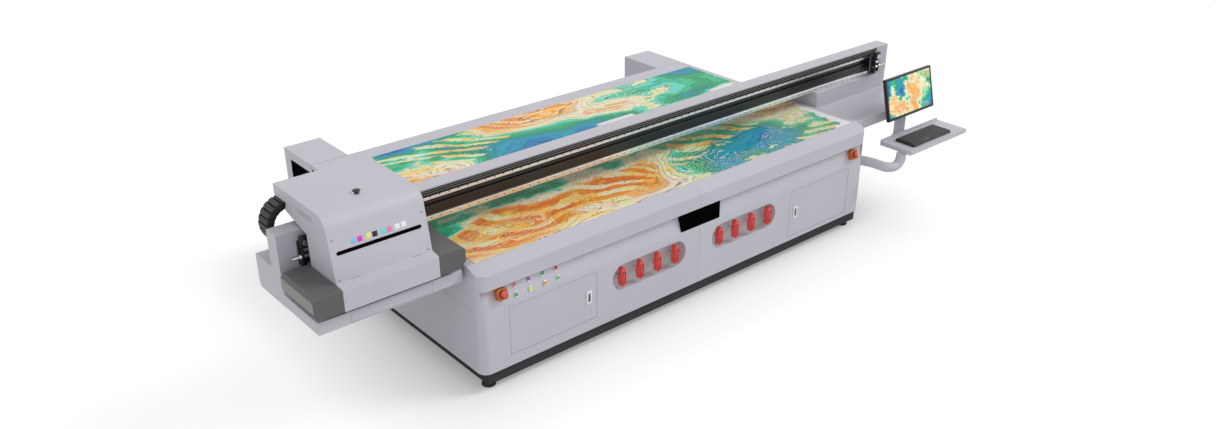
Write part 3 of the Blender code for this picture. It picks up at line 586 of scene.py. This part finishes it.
def stadium_plate(half_length, half_height, back, front, steps=10):
    """A flat bar with round ends: rings run from the centre line to the outline at the back, forward, and to
    the centre line again."""
    t = np.linspace(-np.pi / 2, np.pi / 2, steps)
    end = np.stack([np.cos(t) * half_height + half_length - half_height, np.sin(t) * half_height], axis=-1)
    outline = np.concatenate([end, -end])
    spine = np.stack([np.clip(outline[:, 0], half_height - half_length, half_length - half_height),
                      outline[:, 1] * 0], axis=-1)
    rows = [(spine, back), (outline, back), (outline, front - 0.0004), (outline * (1 - 0.0004), front),
            (spine, front)]
    points = np.stack([np.stack([r[:, 0], np.full(len(r), y), r[:, 1]], axis=-1) for r, y in rows])
    return points.reshape(-1, 3), grid_faces(len(rows), len(outline))


def frame_lines(low_x, high_x, low_z, high_z, width, back, front):
    """Four thin bars round a rectangle, in a face's own axes."""
    radius = min(width, front - back) * 0.3
    bars = [((low_x, back, low_z), (high_x, front, low_z + width)),
            ((low_x, back, high_z - width), (high_x, front, high_z)),
            ((low_x, back, low_z + width), (low_x + width, front, high_z - width)),
            ((high_x - width, back, low_z + width), (high_x, front, high_z - width))]
    return blocks(bars, radius)


def operator(name, label, about, make):
    """An operator class around a function that makes one group of pieces."""
    def execute(self, context):
        if not LOOKS:
            make_looks(context.scene.printer_finish)
        make(context.scene.printer_finish, context.scene.printer_detail)
        return {"FINISHED"}
    return type(f"PRINTER_OT_{name}", (bpy.types.Operator,),
                {"bl_idname": f"printer.{name}", "bl_label": label, "bl_options": {"REGISTER", "UNDO"},
                 "__doc__": about, "execute": execute})


# ---- frame and feet

FOOT_PAD = [(0, 0), (0.036, 0), (0.04, 0.003), (0.04, 0.009), (0.034, 0.014), (0.018, 0.020), (0.013, 0.026),
            (0, 0.026)]
FOOT_NUT = [(0, 0.034), (0.019, 0.034), (0.021, 0.036), (0.021, 0.046), (0.019, 0.048), (0, 0.048)]


def threaded(radius=0.0105, depth=0.0009, low=0.024, high=0.0615, threads=13):
    """Profile of a threaded stem: radius + depth times the sine of the turns."""
    turns = np.linspace(0, 1, 40)
    wave = np.sin(turns * 2 * np.pi * threads)
    thread = np.stack([radius + depth * wave, low + turns * (high - low)], axis=-1)
    return np.concatenate([[(0, low)], thread, [(0, high)]])


def make_foot(node):
    centre = middle(node, z=0)
    fitting(f"{node}_pad", turned(FOOT_PAD, centre, Z_AXIS, 40), "rubber", "base", (node,))
    fitting(f"{node}_stem", turned(threaded(), centre, Z_AXIS, 20), "steel", "base")
    fitting(f"{node}_nut", turned(FOOT_NUT, centre, Z_AXIS, 6), "steel", "base", angle=20)


def make_frame(finish, detail):
    dressed("base_frame", "frame", 0.004)
    for side in SIDES:
        dressed(f"y_rail_{side}", "rail", 0.002)
        dressed(f"gantry_arm_{side}", "steel", 0.003)
        for end in ("front", "rear"):
            make_foot(f"foot_{end}_{side}")


# ---- covers and doors

SUNK = 0.0008
NAME_PLATE = ((1.442, -0.0015, 0.509), (1.768, 0.034, RECESS_HIGH - 0.002))
RIM_DEPTH, RIM_RISE = 0.104, 0.036
LOCK_INSET = 0.058


def make_covers(finish, detail):
    dressed("front_cover", "paint", 0.006, 4)
    for node in ("left_cover", "right_cover", "rear_cover"):
        dressed(node, "paint", detail.edge * 0.4)
    for side in SIDES:
        dressed(f"rear_wing_{side}", "paint", detail.edge * 0.9)
    make_front_seam(detail.seam / 4)
    fitting("blank_name_plate", block(bed(*NAME_PLATE[0]), bed(*NAME_PLATE[1]), 0.0015), "plate", "base")
    make_plinth()
    end, seam_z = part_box("left_cover")[1].y, 0.4992
    lines = [((x - HIDE, BED_Y + 0.118, seam_z), (x + HIDE, end - 0.01, seam_z + 2 * SUNK))
             for x in (BED_X, BED_END)]
    fitting("side_seams", blocks(lines, 0.0003), "seam", "base")
    make_wing_shade_sheets()
    make_rear_vents()


def make_front_seam(half):
    """The joint down the middle of the front cover, over its flats, its recess and its sloping rim."""
    mid = (BED_END - BED_X) / 2
    flats = ((FRONT[0].z + 0.004, RECESS_LOW - 0.006), (RECESS_HIGH + 0.006, 0.71))
    strips = [block(bed(mid - half, -HIDE, low), bed(mid + half, SUNK, high), 0.0002, 2)
              for low, high in flats]
    recess_middle = recess_point(mid, (RECESS_LOW + RECESS_HIGH) / 2)
    rim = leaning(np.arctan2(RIM_DEPTH, RIM_RISE))
    for reach, place, face in ((0.056, recess_middle, RECESS), (0.050, bed(mid, 0.052, 0.732), rim)):
        strip = block((-half, -SUNK, -reach), (half, HIDE, reach), 0.0002, 2)
        strips.append(moved(strip, place, *face))
    fitting("cover_seam", joined(*strips), "seam", "base")


def make_rear_vents():
    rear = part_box("rear_cover")
    vent = block((-0.05, -SUNK, -0.003), (0.05, HIDE, 0.003), 0.0006, 2)
    places = [((rear[0].x + rear[1].x) / 2 + side * 0.7 + column * 0.12, rear[1].y, 0.30 + row * 0.018)
              for side in (-1, 1) for column in (-1, 0, 1) for row in range(9)]
    fitting("rear_vents", repeated(vent, places), "seam", "base")


def make_plinth():
    """A dark set-back skirt between the covers and the floor, on all four sides."""
    inset, thick = 0.014, 0.002
    low, high = 0.046, FRONT[0].z - 0.001
    left, right = BED_X + inset + 0.02, BED_END - inset - 0.02
    front, back = BED_Y + inset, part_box("rear_cover")[1].y - inset
    strips = [((left, front, low), (right, front + thick, high)),
              ((left, back - thick, low), (right, back, high)),
              ((left, front, low), (left + thick, back, high)),
              ((right - thick, front, low), (right, back, high))]
    fitting("plinth", blocks(strips, 0.0006), "plinth", "base")


def make_wing_shade_sheets():
    """Dark sheets inside the two hollow wings at the rear."""
    wall, thick, lift = 0.0045, 0.002, 0.01
    for side, way in (("left", 1), ("right", -1)):
        low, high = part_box(f"rear_wing_{side}")
        outer, inner = (low.x, high.x) if way > 0 else (high.x, low.x)
        corner = (inner - way * wall, high.y - wall, high.z - wall)
        sheets = [((inner - way * (wall + thick), low.y + thick, low.z + lift), corner),
                  ((outer + way * wall, low.y + thick, high.z - wall - thick), corner),
                  ((outer + way * wall, high.y - wall - thick, low.z + lift), corner)]
        fitting(f"wing_shade_sheet_{side}", blocks(sheets, 0.0005), "shadow", "base")


def make_doors(finish, detail):
    for side in SIDES:
        node = f"door_{side}"
        dressed(node, "paint", 0.0012)
        low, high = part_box(node)
        grow, line = 0.012, 0.0016
        backing = block((low.x - grow, low.y + 0.0075, low.z - grow),
                        (high.x + grow, low.y + 0.0095, high.z + grow), 0.001, 2)
        fitting(f"{node}_backing", backing, "frame", "base")
        outline = frame_lines(low.x - line, high.x + line, low.z - line, high.z + line, line, 0.0, HIDE)
        fitting(f"{node}_seam", moved(outline, np.array((0, low.y, 0)), *UPRIGHT), "seam", "base")
        make_lock(node, high.x - LOCK_INSET if side == "left" else low.x + LOCK_INSET)
        hinge_x = low.x if side == "left" else high.x
        knuckle = [(0, -0.02), (0.0038, -0.02), (0.0045, -0.019), (0.0045, 0.019), (0.0038, 0.02), (0, 0.02)]
        spots = [turned(knuckle, np.array((hinge_x, low.y + 0.0045, z)), Z_AXIS, 16)
                 for z in (low.z + 0.05, high.z - 0.05)]
        fitting(f"{node}_hinges", joined(*spots), "steel", "base")


def make_lock(node, x):
    """A door's lock: a white plate, a grey recess in it and a black lever."""
    centre = middle(node, x=x, y=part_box(node)[0].y) + 0.004 * Z_AXIS
    lock = block((-0.020, HIDE, -0.042), (0.020, 0.0045, 0.042), 0.0022)
    slot = block((-0.010, 0.004, -0.028), (0.010, 0.0052, 0.028), 0.0005, 2)
    lever = block((-0.0035, 0.005, -0.020), (0.0035, 0.0062, 0.018), 0.0005, 2)
    for name, shape, look in (("lock", lock, "white"), ("lock_slot", slot, "recess"),
                              ("lock_lever", lever, "black")):
        fitting(f"{node}_{name}", moved(shape, centre, *UPRIGHT), look, BODY_OF[node])


# ---- bed and controls

def make_bed(finish, detail):
    dressed("vacuum_table", "paint", 0.002)
    dressed("printed_sheet", "board", 0.0008)


def make_buttons(finish, detail):
    colours = {m["slot"]: m["base_color"][:3] for m in frame["record"]["materials"]}
    face_out = 0.007
    rings = []
    for number in range(1, 9):
        node = f"push_button_{number}"
        face = middle(node) + RECESS[1] * face_out
        cap = moulded(f"cap_colour_{number}", tuple(colours[SLOT_OF[node]]), 0.25)
        profile = dome(0.0104, -0.02, 0.0088, 0.0035)
        piece(f"{node}_cap", turned(profile, face, RECESS[1], 36), cap, BODY_OF[node], (node,))
        rings.append(turned(ring(0.0108, detail.bezel, 0.0, 0.0052), face, RECESS[1], 40))
    fitting("button_bezels", joined(*rings), "bezel", "base")


def mushroom(skirt, radius, low, crown):
    """Profile of a mushroom head: a stem and skirt of given points, then a quarter ellipse to the top."""
    t = np.linspace(0, np.pi / 2, 8)
    head = np.stack([radius * np.cos(t), low + crown * np.sin(t)], axis=-1)
    return np.concatenate([skirt, head])


def make_stops(finish, detail):
    face_out = 0.0179
    collar = [(0.0182, -0.002), (0.0225, -0.002), (0.0245, 0.0), (0.0235, 0.0032), (0.0205, 0.0040),
              (0.0182, 0.0040), (0.0182, -0.002)]
    skirt = [(0, -0.015), (0.0098, -0.015), (0.0098, 0.0055), (0.0130, 0.0065), (0.0165, 0.0085)]
    head = mushroom(skirt, 0.0175, 0.0130, 0.0045)
    for side in SIDES:
        node, button = f"estop_box_{side}", f"estop_button_{side}"
        dressed(node, "amber", 0.006, 4)
        front = middle(node) + RECESS[1] * face_out
        fitting(f"{node}_collar", turned(collar, front, RECESS[1], 8), "collar", "base", angle=20)
        fitting(f"{button}_mushroom", turned(head, front, RECESS[1], 48), "red", BODY_OF[button], (button,))


def make_valves(finish, detail):
    pin = [(0, 0.0), (0.0040, 0.0), (0.0040, 0.0012), (0.0034, 0.0016), (0, 0.0016)]
    flange = [(0.0, 0.006), (0.0215, 0.006), (0.0235, 0.008), (0.0235, 0.014), (0.0215, 0.016), (0.0, 0.016)]
    lug = block((-0.034, 0.014, -0.007), (-0.012, 0.026, 0.007), 0.003)
    for side in SIDES:
        dressed(f"valve_pocket_{side}", "pocket", 0.001)
    for number in range(1, 9):
        node = f"valve_handle_{number}"
        dressed(node, "red", 0.003, 3)
        centre = middle(node, y=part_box(node)[0].y)
        pins = [turned(pin, centre + up * Z_AXIS, -Y_AXIS, 10) for up in (-0.030, 0.034)]
        fitting(f"{node}_pins", joined(*pins), "collar", BODY_OF[node], (), 30)
        hub = joined(turned(flange, centre, Y_AXIS, 28), moved(lug, centre, X_AXIS, Y_AXIS, Z_AXIS))
        fitting(f"{node}_flange", hub, "red", BODY_OF[node])


# ---- gantry

CHANNEL_INSET = (0.173, 0.14)
HOSE_COVERS = ((1.42, 1.72), (2.40, 2.62))
DRIVES = (("left", BED_X - 0.70, -1, 0.078), ("right", BED_END + 0.645, 1, 0.13))


def make_gantry(finish, detail):
    edge = detail.edge
    dressed("beam", "paint", edge)
    for node in ("station_tray", "right_wing"):
        dressed(node, "paint", edge * 1.3)
    dressed("chain_trough", "paint", edge * 0.5)
    make_channel(BEAM[0].x + CHANNEL_INSET[0], BEAM[1].x - CHANNEL_INSET[1])
    for node, rail in (("rail_upper", UPPER_RAIL), ("rail_lower", LOWER_RAIL)):
        dressed(node, "rail", 0.002)
        make_rail_screws(node, rail, detail.screw_pitch)
    for drive in DRIVES:
        make_end_drive(*drive)
    for number, (low_x, high_x) in enumerate(HOSE_COVERS):
        cover = block(bed(low_x, 0.70, TROUGH[1].z - 0.004), bed(high_x, 0.762, 0.985), 0.012, 5)
        fitting(f"hose_cover_{number + 1}", cover, "pale", "gantry")
    low = STATION[0]
    outline = frame_lines(low.x + 0.174, low.x + 0.634, low.z + 0.008, low.z + 0.062, 0.0014, -HIDE, HIDE)
    fitting("drip_tray_seam", moved(outline, np.array((0, low.y, 0)), *UPRIGHT), "seam", "gantry")


def make_channel(left, right):
    """The open channel in the beam's face: a dark liner with the belt on it, and a ribbed seal above."""
    floor, low, face = CHANNEL_FLOOR, BEAM[0].z, BEAM[0].y
    lip, rib = low + 0.185, 0.002
    liner = [block((left + 0.002, floor - 0.004, low + 0.001), (right - 0.002, floor, low + 0.155), 0.001, 2),
             block((left + 0.03, floor - 0.016, low + 0.062), (right - 0.03, floor - 0.0125, low + 0.094),
                   0.0008, 2)]
    fitting("channel_liner", joined(*liner), "liner", "gantry")
    seal = block((left - 0.02, face - 0.0015, lip - 0.002), (right + 0.01, face, lip + 0.0165), 0.0006, 2)
    # A dark block under the channel's top: painted shade, in the seal's near-black
    painted_shade_ceiling = block((left + 0.002, face + 0.001, lip - 0.027), (right - 0.002, face + 0.026, lip - HIDE),
                    0.001, 2)
    fitting("channel_seal_and_shade", joined(seal, painted_shade_ceiling), "shadow", "gantry", ())
    lines = ((face - 0.0022, lip + 0.0115), (face - 0.0022, lip + 0.001), (face - 0.0006, lip - 0.0125))
    ribs = [((left + 0.002, y, z), (right - 0.002, y + rib, z + 0.0028)) for y, z in lines]
    fitting("channel_ribs", blocks(ribs, 0.0006), "side", "gantry")


def make_rail_screws(node, rail, pitch):
    low, high = rail
    head = turned([(0, 0), (0.0040, 0), (0.0040, HIDE), (0.0034, 0.0008), (0.0034, 0.0003), (0, 0.0003)],
                  np.zeros(3), -Y_AXIS, 10)
    places = [(x, low.y, (low.z + high.z) / 2) for x in np.arange(low.x + 0.03, high.x, pitch)]
    fitting(f"{node}_screws", repeated(head, places), "black", "gantry")


def make_end_drive(name, end, way, reach):
    """The belt's end bracket on the beam's face, with its motor, its pulleys and a shaft to the outside."""
    face, low = BEAM[0].y, BEAM[0].z

    def part(low_x, high_x, out, back, low_z, high_z, radius=0.002):
        near = (end + low_x, face - out, low + low_z)
        return block(near, (end + high_x, face - back, low + high_z), radius)
    proud = 0.0112
    plates = [part(-0.034, 0.036, 0.0115, HIDE, 0.024, 0.152),
              part(-0.026, 0.030, 0.036, proud, 0.118, 0.178, 0.004),
              part(-0.022, -0.014, 0.034, proud, 0.030, 0.110),
              part(0.014, 0.022, 0.034, proud, 0.030, 0.110),
              part(-0.030, -0.002, 0.033, proud, 0.020, 0.048, 0.004)]
    fitting(f"drive_bracket_{name}", joined(*plates), "black", "gantry")
    axis = way * X_AXIS
    shaft_line = np.array((end, face - 0.022, low + 0.068))
    shaft = [(0, -0.030), (0.0065, -0.030), (0.0065, reach - 0.012), (0.0050, reach - 0.010), (0.0050, reach),
             (0, reach)]
    collar = [(0, 0.023), (0.0135, 0.023), (0.0150, 0.025), (0.0150, 0.033), (0.0135, 0.035), (0, 0.035)]
    wheel = [(0, -0.012), (0.0125, -0.012), (0.0125, -0.009), (0.0105, -0.008), (0.0105, 0.008),
             (0.0125, 0.009), (0.0125, 0.012), (0, 0.012)]
    shapes = [turned(shaft, shaft_line, axis, 24), turned(collar, shaft_line, axis, 32),
              turned(wheel, shaft_line, axis, 28), turned(wheel, shaft_line + 0.034 * Z_AXIS, axis, 28)]
    fitting(f"drive_pulleys_{name}", joined(*shapes), "bezel", "gantry")
    top = shaft_line + np.array((0, -0.0155, 0.080))
    cap = [(0, 0), (0.0155, 0), (0.0170, 0.0015), (0.0170, 0.006), (0, 0.006)]
    fitting(f"drive_cap_{name}", turned(cap, top, -Y_AXIS, 32), "steel", "gantry")


# ---- cable chain

BEND_OVERLAP = 1.14


def link_shape(length, width, height):
    """One chain link about its own centre: two side plates with a waist, and a bar above and below."""
    plate, bar = 0.007, 0.003
    half = width / 2
    parts = []
    for side in (-1, 1):
        y = side * (half - plate / 2)
        parts.append(block((-length * 0.52, y - plate / 2, -height * 0.5),
                           (length * 0.22, y + plate / 2, height * 0.5), 0.003))
        inner = y - side * plate * 0.45
        parts.append(block((length * 0.1, inner - plate / 2, -height * 0.42),
                           (length * 0.5, inner + plate / 2, height * 0.42), 0.003))
    for up in (-1, 1):
        z = up * (height / 2 - bar)
        parts.append(block((-length * 0.44, plate - half, z - bar), (length * 0.40, half - plate, z + bar),
                           0.0015, 2))
    return joined(*parts)


def make_chain(finish, detail):
    low, high = CHAIN_LOW
    width, height, y = high.y - low.y, high.z - low.z, (low.y + high.y) / 2
    for node, (low, high) in (("chain_lower", CHAIN_LOW), ("chain_upper", CHAIN_HIGH)):
        length = high.x - low.x
        count = int(length / detail.link_pitch)
        pitch = length / count
        places = [(low.x + (i + 0.5) * pitch, y, (low.z + high.z) / 2) for i in range(count)]
        links = repeated(link_shape(pitch, width, height), places)
        run = fitting(f"{node}_links", links, "nylon", None, (node,))
        if node == "chain_lower":
            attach(run, "gantry")
            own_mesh(run)
        else:
            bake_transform(run)
    make_chain_bend(width, height, y, detail.link_pitch)


def make_chain_bend(width, height, y, pitch):
    """Links round a half circle: point = centre + radius outwards + the link's own length along the arc."""
    low, high = CHAIN_TURN
    centre = np.array((high.x, y, (low.z + high.z) / 2))
    radius = (high.z - low.z) / 2 - height / 2
    count = int(np.pi * radius / pitch)
    points, faces = link_shape(np.pi * radius / count * BEND_OVERLAP, width, height)
    first = BEND_OVERLAP / 2
    shapes = []
    for angle in np.pi / 2 + np.linspace(first, count - first, count) * np.pi / count:
        out = np.array((np.cos(angle), 0, np.sin(angle)))
        along = np.array((-np.sin(angle), 0, np.cos(angle)))
        shapes.append((centre + radius * out + points[:, :1] * along + points[:, 1:2] * Y_AXIS
                       + points[:, 2:] * out, faces))
    fitting("chain_bend_links", joined(*shapes), "nylon", "chain_turn", ("chain_bend",))


# ---- carriage

INK_MARKS = (("light_blue", (0.20, 0.62, 0.90), -0.575), ("magenta", (0.85, 0.05, 0.62), -0.540),
             ("yellow", (0.88, 0.88, 0.30), -0.494), ("black", (0.01, 0.01, 0.01), -0.459),
             ("turquoise", (0.15, 0.75, 0.75), -0.414), ("pink", (0.90, 0.25, 0.50), -0.379),
             ("white_first", (0.92, 0.92, 0.92), -0.336), ("white_second", (0.92, 0.92, 0.92), -0.301))

SLOT_UP, SLOT_X = 0.267, -0.439
MARK_UP, MARK_HALF = 0.037, 0.0135


def make_hood(finish, detail):
    body = BODY_OF["hood"]
    dressed("hood", "paint", 0.012, 4)
    dressed("head_block", "alloy", 0.003)
    dressed("carriage_plate", "steel", 0.002)
    for side in SIDES:
        dressed(f"lamp_{side}", "lamp", 0.005, 4)
    low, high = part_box("lamp_left")
    flank = block((low.x - HIDE, low.y + 0.008, low.z + 0.036),
                  (low.x + 0.002, high.y - 0.004, high.z - 0.020), 0.0006, 2)
    fitting("lamp_left_flank", flank, "side", body)
    make_hood_marks(body, HOOD[0].z + SLOT_UP)
    make_hood_fittings(body)
    make_knob(body)


def make_hood_marks(body, slot_z):
    """The long slot in the hood's face and the row of ink colours above it."""
    bar = stadium_plate(0.232, 0.0095, 0.0, 0.0012, 14)
    fitting("hood_slot", moved(bar, hood_point(SLOT_X, slot_z), *HOOD_FACE), "plate", body)
    tile = block((-MARK_HALF, 0.0, -MARK_HALF), (MARK_HALF, 0.0011, MARK_HALF), 0.0005)
    for name, color, x in INK_MARKS:
        piece(f"ink_mark_{name}", moved(tile, hood_point(x, slot_z + MARK_UP), *HOOD_FACE),
              moulded(f"ink_{name}", color, 0.3), body, ())


def make_hood_fittings(body):
    low, high = HOOD
    screw = [(0, 0), (0.0045, 0), (0.0042, 0.0012), (0.002, 0.0018), (0, 0.0018)]
    screws = [turned(screw, hood_point(x, low.z + up), HOOD_FACE[1], 16)
              for x in (low.x - BED_X + 0.022, high.x - BED_X - 0.022) for up in (0.140, 0.335)]
    fitting("hood_screws", joined(*screws), "alloy", body)
    mark = block((-0.024, 0, -0.0012), (0.024, 0.0009, 0.0012), 0.0004, 2)
    marks = [moved(mark, hood_point(x, low.z + 0.1295), *HOOD_FACE) for x in (-0.60, -0.26)]
    fitting("hood_latch_marks", joined(*marks), "seam", body)
    louvre = block((-0.0006, -0.0024, -0.016), (0.0006, 0.0024, 0.016), 0.0005, 2)
    places = [(x, low.y + 0.255 + i * 0.017, high.z - 0.055) for x in (low.x, high.x) for i in range(9)]
    fitting("hood_louvres", repeated(louvre, places), "seam", body)


def make_knob(body):
    centre = middle("hood_knob", z=HOOD[1].z)
    skirt = [(0, -0.010), (0.0066, -0.010), (0.0066, 0.0064), (0.013, 0.0072), (0.019, 0.0085)]
    head = mushroom(skirt, 0.0205, 0.0125, 0.0065)
    cap = turned(head, centre, Z_AXIS, 48)
    fitting("hood_knob_mushroom", cap, "black", BODY_OF["hood_knob"], ("hood_knob",))
    base = [(0.008, 0.0), (0.0235, 0.0), (0.0238, 0.0004), (0.0230, 0.0010), (0.008, 0.0010), (0.008, 0.0)]
    fitting("hood_knob_base", turned(base, centre, Z_AXIS, 48), "bezel", body)


# ---- console

def make_console(finish, detail):
    dressed("console_arm", "paint", 0.002, 3, 50)
    dressed("shelf", "paint", 0.004)
    dressed("keyboard", "black", 0.004)
    make_keys()
    dressed("monitor", "black", 0.004, 4)
    make_screen()


def make_keys(columns=19, rows=6):
    """Rows of key caps, with one long bar in place of six keys of the front row."""
    low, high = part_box("keyboard")
    start = np.array((low.x + 0.008, low.y + 0.007, high.z - 0.002))
    pitch_x = (high.x - low.x - 0.016) / columns
    pitch_y = (high.y - low.y - 0.014) / rows

    def cap(half_x):
        return block((-half_x, -pitch_y * 0.42, 0), (half_x, pitch_y * 0.42, 0.0065), 0.0018)
    places = [start + ((c + 0.5) * pitch_x, (r + 0.5) * pitch_y, 0)
              for r in range(rows) for c in range(columns) if r > 0 or not 3 <= c <= 8]
    bar = repeated(cap(pitch_x * 2.9), [start + (6 * pitch_x, 0.5 * pitch_y, 0)])
    fitting("keyboard_keys", joined(repeated(cap(pitch_x * 0.43), places), bar), "keys", "console")


def make_screen():
    """The monitor's lit panel, its rim and a small lamp, in the axes of its leaning face."""
    hinge = np.array([j for j in frame["joints"] if j["name"] == "screen_tilt"][0]["pos_m"])
    face = leaning(SCREEN_TILT)
    half, foot, head, front = 0.2625, -0.155, 0.142, 0.047
    rim, chin, inset = 0.015, 0.019, 0.004
    back, proud = front - 0.002, front + 0.0028
    panel = block((rim - half, back, foot + chin), (half - rim, front + 0.0006, head - rim), 0.0004, 2)
    fitting("screen_glass", moved(panel, hinge, *face), "screen", "screen")
    bars = [((-half, back, head - rim), (half, proud, head)),
            ((-half, back, foot), (half, proud, foot + chin)),
            ((-half, back, foot + inset), (-half + rim, proud, head - inset)),
            ((half - rim, back, foot + inset), (half, proud, head - inset))]
    frame_bars = moved(blocks(bars, 0.0016, 3), hinge, *face)
    fitting("screen_bezel", frame_bars, "black", "screen", ())
    lamp = [(0, 0), (0.0022, 0), (0.0016, 0.0006), (0, 0.0008)]
    spot = hinge + face[0] * 0.25 + face[1] * (front + 0.0026) + face[2] * (foot + 0.010)
    fitting("screen_lamp", turned(lamp, spot, -Y_AXIS, 12), "bezel", "screen")


# ---- stage

CAMERA_PLACE = (-2.617, -4.084, 3.429)
CAMERA_TURN = (90 - 25.985, -40.491)
CAMERA_LENS = 32.0


FLOOR_SIZE = 40.0
# FLOOR_LIFT is a glow seen by the camera that lightens the floor and its shadows near the machine; NEAR_HALF_X,
# NEAR_HALF_Y and FLOOR_REACH set the painted shade round the footprint, where the floor stays greyer and fades to
# white.
FLOOR_WHITE, FLOOR_LIFT, FLOOR_SHARE, FLOOR_REACH = 1.22, 0.19, 0.5, 0.75
NEAR_HALF_X, NEAR_HALF_Y = 1.6, 0.9
WORLD_LEVEL = 0.62


def studio_floor():
    """White seen from the camera away from the machine, and a plain matt floor under and beside it, so that
    its shadow stays: share = distance from the footprint / reach, at most 1."""
    finish = Finish("studio_floor")
    cloud = finish.noise(0.4, 2)
    tone = finish.mix(cloud, (0.77, 0.77, 0.77), (0.79, 0.79, 0.79))
    finish.set(Base_Color=tone, Roughness=cloud * 0.1 + 0.75, Specular_IOR_Level=0.1)
    across = (finish.axis("X").maths("ABSOLUTE") - NEAR_HALF_X).maths("MAXIMUM", 0.0)
    along = (finish.axis("Y").maths("ABSOLUTE") - NEAR_HALF_Y).maths("MAXIMUM", 0.0)
    distance = (across * across + along * along).power(0.5)
    share = (distance * (1 / FLOOR_REACH)).maths("MINIMUM", 1.0)
    seen = finish.node("ShaderNodeLightPath", {}, {}, "Is Camera Ray")
    glow = finish.node("ShaderNodeEmission", {}, {"Strength": FLOOR_WHITE})
    lift = finish.node("ShaderNodeEmission", {}, {"Strength": seen * FLOOR_LIFT})
    matt = Value(finish.tree, finish.shader.outputs[0])
    under = finish.node("ShaderNodeAddShader", {}, {0: matt, 1: lift})
    blend = finish.node("ShaderNodeMixShader", {}, {0: share * seen * FLOOR_SHARE, 1: under, 2: glow})
    finish.link(blend, finish.tree.nodes["Material Output"].inputs["Surface"])
    return finish.material


def make_stage(finish, detail):
    bpy.context.scene.view_settings.view_transform = "Standard"
    add_camera()
    add_floor()
    add_world()
    add_sun("key", (52, 0, 62), 1.15, 24)
    add_sun("fill", (60, 0, -60), 0.35, 60)


def add_camera():
    scene = bpy.context.scene
    camera = bpy.data.cameras.new("camera")
    camera.lens = CAMERA_LENS
    camera.sensor_width = 36.0
    camera.clip_end = 200
    holder = bpy.data.objects.new("camera", camera)
    holder.location = bed(*CAMERA_PLACE)
    tilt, turn = (float(np.radians(a)) for a in CAMERA_TURN)
    holder.rotation_mode = "XYZ"
    holder.rotation_euler = (tilt, 0.0, turn)
    scene.collection.objects.link(holder)
    scene.camera = holder


def add_floor():
    floor = bpy.data.meshes.new("floor")
    corners = [(x * FLOOR_SIZE, y * FLOOR_SIZE, 0) for x, y in ((-1, -1), (1, -1), (1, 1), (-1, 1))]
    floor.from_pydata(corners, [], [(0, 1, 2, 3)])
    floor.materials.append(studio_floor())
    floor_object = bpy.data.objects.new("floor", floor)
    bpy.context.scene.collection.objects.link(floor_object)


def add_world():
    """A white sky: full strength for what the camera sees or what is mirrored, less as a light."""
    world = bpy.data.worlds.new("studio")
    world.use_nodes = True
    tree = world.node_tree
    path = tree.nodes.new("ShaderNodeLightPath")
    camera_ray, glossy_ray = (Value(tree, path.outputs[f"Is {ray} Ray"]) for ray in ("Camera", "Glossy"))
    level = camera_ray.maths("MAXIMUM", glossy_ray) * (1.0 - WORLD_LEVEL) + WORLD_LEVEL
    background = tree.nodes["Background"]
    background.inputs["Color"].default_value = (1, 1, 1, 1)
    tree.links.new(level.socket, background.inputs["Strength"])
    bpy.context.scene.world = world


def add_sun(name, turn, strength, softness):
    """A soft light from far away, turned by three angles in degrees."""
    light = bpy.data.lights.new(name, "SUN")
    light.energy = strength
    light.angle = float(np.radians(softness))
    holder = bpy.data.objects.new(name, light)
    holder.rotation_euler = [float(np.radians(a)) for a in turn]
    bpy.context.scene.collection.objects.link(holder)


OPERATORS = [
    operator("stage", "Studio", "Makes the camera, the pale floor and the lights", make_stage),
    operator("frame", "Frame and feet", "Finishes the frame, its feet, rails and gantry arms", make_frame),
    operator("covers", "Covers", "Makes the bed's covers with seam, vents and blank plate", make_covers),
    operator("doors", "Doors", "Makes the two cabinet doors with locks and hinges", make_doors),
    operator("bed", "Bed and board", "Makes the bed and the printed board on it", make_bed),
    operator("buttons", "Push buttons", "Makes the eight push buttons and their bezels", make_buttons),
    operator("stops", "Stop buttons", "Makes the two emergency stop buttons", make_stops),
    operator("valves", "Valves", "Makes the eight valve handles in their pockets", make_valves),
    operator("gantry", "Gantry", "Makes the beam with rails, belt drive, station and trough", make_gantry),
    operator("chain", "Cable chain", "Makes the links of the cable chain", make_chain),
    operator("hood", "Carriage", "Makes the carriage hood, its marks, knob and lamps", make_hood),
    operator("console", "Console", "Makes the operator's console", make_console),
]


class PRINTER_PT_panel(bpy.types.Panel):
    """Lists the printer's operators and sizes"""

    bl_label = "Flatbed Printer"
    bl_idname = "PRINTER_PT_panel"
    bl_space_type = "VIEW_3D"
    bl_region_type = "UI"
    bl_category = "Printer"

    def draw(self, context):
        for settings in (context.scene.printer_finish, context.scene.printer_detail):
            for name in settings.bl_rna.properties.keys():
                if name not in ("rna_type", "name"):
                    self.layout.prop(settings, name)
        for made in OPERATORS:
            self.layout.operator(made.bl_idname)


CLASSES = [FinishSettings, DetailSettings, *OPERATORS, PRINTER_PT_panel]


def register():
    for made in CLASSES:
        bpy.utils.register_class(made)
    bpy.types.Scene.printer_finish = bpy.props.PointerProperty(type=FinishSettings)
    bpy.types.Scene.printer_detail = bpy.props.PointerProperty(type=DetailSettings)


def unregister():
    del bpy.types.Scene.printer_finish
    del bpy.types.Scene.printer_detail
    for made in reversed(CLASSES):
        bpy.utils.unregister_class(made)


def main():
    register()
    for made in OPERATORS:
        getattr(bpy.ops.printer, made.bl_idname.split(".")[1])()


if __name__ == "__main__":
    main()
